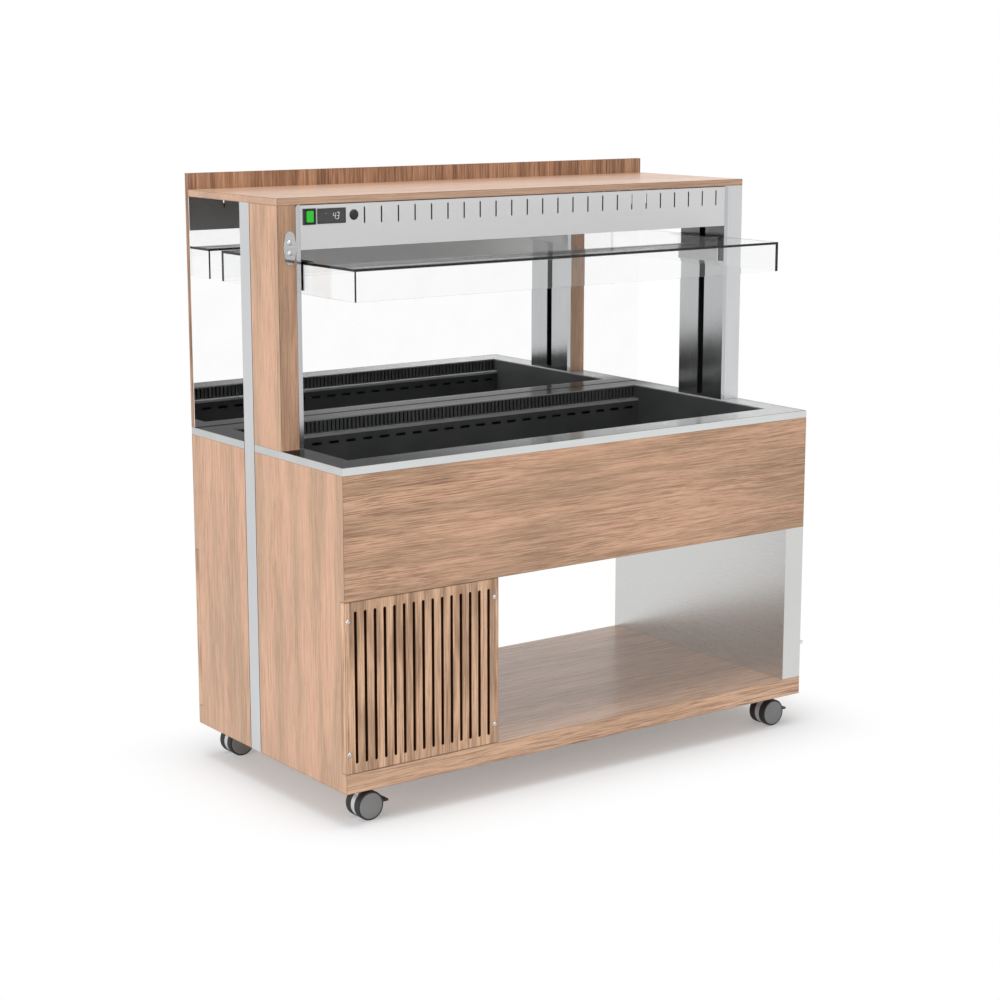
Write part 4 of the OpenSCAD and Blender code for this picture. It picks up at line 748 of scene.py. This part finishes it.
studio = {"ambient": 0.5, "floorReach": 60, "floorColour": (0.92, 0.935, 0.95),
          "clearFrom": -0.14, "clearTo": 0.28}
photoCamera = {"lens": 79.21, "sensor": 36.0, "place": (-3.3298, -4.5572, 1.7802), "pitch": 78.688,
               "heading": -35.992, "farthest": 200}
lamps = {
    "topSoftbox": {"place": (-0.6, -0.6, 7.5), "aim": (0, 0, 1.0), "size": 5.0, "power": 300},
    "leftSoftbox": {"place": (-6.5, -1.0, 2.6), "aim": (0, 0, 0.8), "size": 3.5, "power": 150},
    "frontSoftbox": {"place": (-1.0, -7.0, 3.0), "aim": (0, 0, 0.8), "size": 4.0, "power": 40},
}


def softEdge(tree):
    # 0 under the counter, 1 out on the floor, by the distance from the counter's outline
    high = cadBox[1]
    parts = objectParts(tree)
    reach = []
    for index, half in ((0, high[0]), (1, high[1])):
        beyond = mathNode(tree, "SUBTRACT", mathNode(tree, "ABSOLUTE", parts[index]), half)
        reach.append(mathNode(tree, "MAXIMUM", beyond, 0.0))
    flat = put(tree, "ShaderNodeCombineXYZ", {0: reach[0], 1: reach[1]}).outputs[0]
    distance = put(tree, "ShaderNodeVectorMath", {0: flat}, operation="LENGTH").outputs["Value"]
    sockets = {"Value": distance, "From Min": studio["clearFrom"], "From Max": studio["clearTo"]}
    return put(tree, "ShaderNodeMapRange", sockets, interpolation_type="SMOOTHSTEP").outputs["Result"]


def seenDirectly(tree):
    # 1 for what the camera, a reflection or a refraction sees, 0 for the light that falls on things
    path = put(tree, "ShaderNodeLightPath").outputs
    seen = mathNode(tree, "MAXIMUM", path["Is Camera Ray"], path["Is Glossy Ray"])
    return mathNode(tree, "MAXIMUM", seen, path["Is Transmission Ray"])


def makeFloor():
    material = bpy.data.materials.new("studioFloor")
    material.use_nodes = True
    tree = material.node_tree
    tree.nodes.clear()
    seen = seenDirectly(tree)
    near = put(tree, "ShaderNodeBsdfDiffuse", {"Color": (*studio["floorColour"], 1.0)}).outputs[0]
    clear = put(tree, "ShaderNodeEmission", {"Strength": 1.0}).outputs[0]
    fade = product(tree, softEdge(tree), seen)
    blend = put(tree, "ShaderNodeMixShader", {0: fade, 1: near, 2: clear}).outputs[0]
    tree.links.new(blend, put(tree, "ShaderNodeOutputMaterial").inputs["Surface"])
    mesh = bpy.data.meshes.new("studioFloor")
    reach = studio["floorReach"]
    corners = [(-reach, -reach, 0), (reach, -reach, 0), (reach, reach, 0), (-reach, reach, 0)]
    mesh.from_pydata(corners, [], [(0, 1, 2, 3)])
    mesh.materials.append(material)
    floor = bpy.data.objects.new("studioFloor", mesh)
    bpy.context.scene.collection.objects.link(floor)


def makeWorld():
    world = bpy.data.worlds.new("studioWorld")
    world.use_nodes = True
    tree = world.node_tree
    tree.nodes.clear()
    seen = seenDirectly(tree)
    ambient = studio["ambient"]
    strength = mathNode(tree, "ADD", product(tree, seen, 1.0 - ambient), ambient)
    backdrop = put(tree, "ShaderNodeBackground", {"Color": (1, 1, 1, 1), "Strength": strength}).outputs[0]
    tree.links.new(backdrop, put(tree, "ShaderNodeOutputWorld").inputs["Surface"])
    bpy.context.scene.world = world


def aimed(thing, place, aim):
    thing.location = place
    thing.rotation_euler = (Vector(aim) - Vector(place)).to_track_quat("-Z", "Y").to_euler()


def makeLamps():
    for name, lamp in lamps.items():
        light = bpy.data.lights.new(name, "AREA")
        light.size = lamp["size"]
        light.energy = lamp["power"]
        thing = bpy.data.objects.new(name, light)
        bpy.context.scene.collection.objects.link(thing)
        aimed(thing, lamp["place"], lamp["aim"])
        thing.visible_camera = False


def makeCamera():
    view = bpy.data.cameras.new("photoView")
    view.lens = photoCamera["lens"]
    view.sensor_width = photoCamera["sensor"]
    view.clip_end = photoCamera["farthest"]
    thing = bpy.data.objects.new("photoView", view)
    thing.location = photoCamera["place"]
    thing.rotation_euler = (radians(photoCamera["pitch"]), 0, radians(photoCamera["heading"]))
    bpy.context.scene.collection.objects.link(thing)
    bpy.context.scene.camera = thing


makeFloor()
makeWorld()
makeLamps()
makeCamera()
bpy.context.scene.view_settings.view_transform = "Standard"
print("salad bar: studio and camera set")
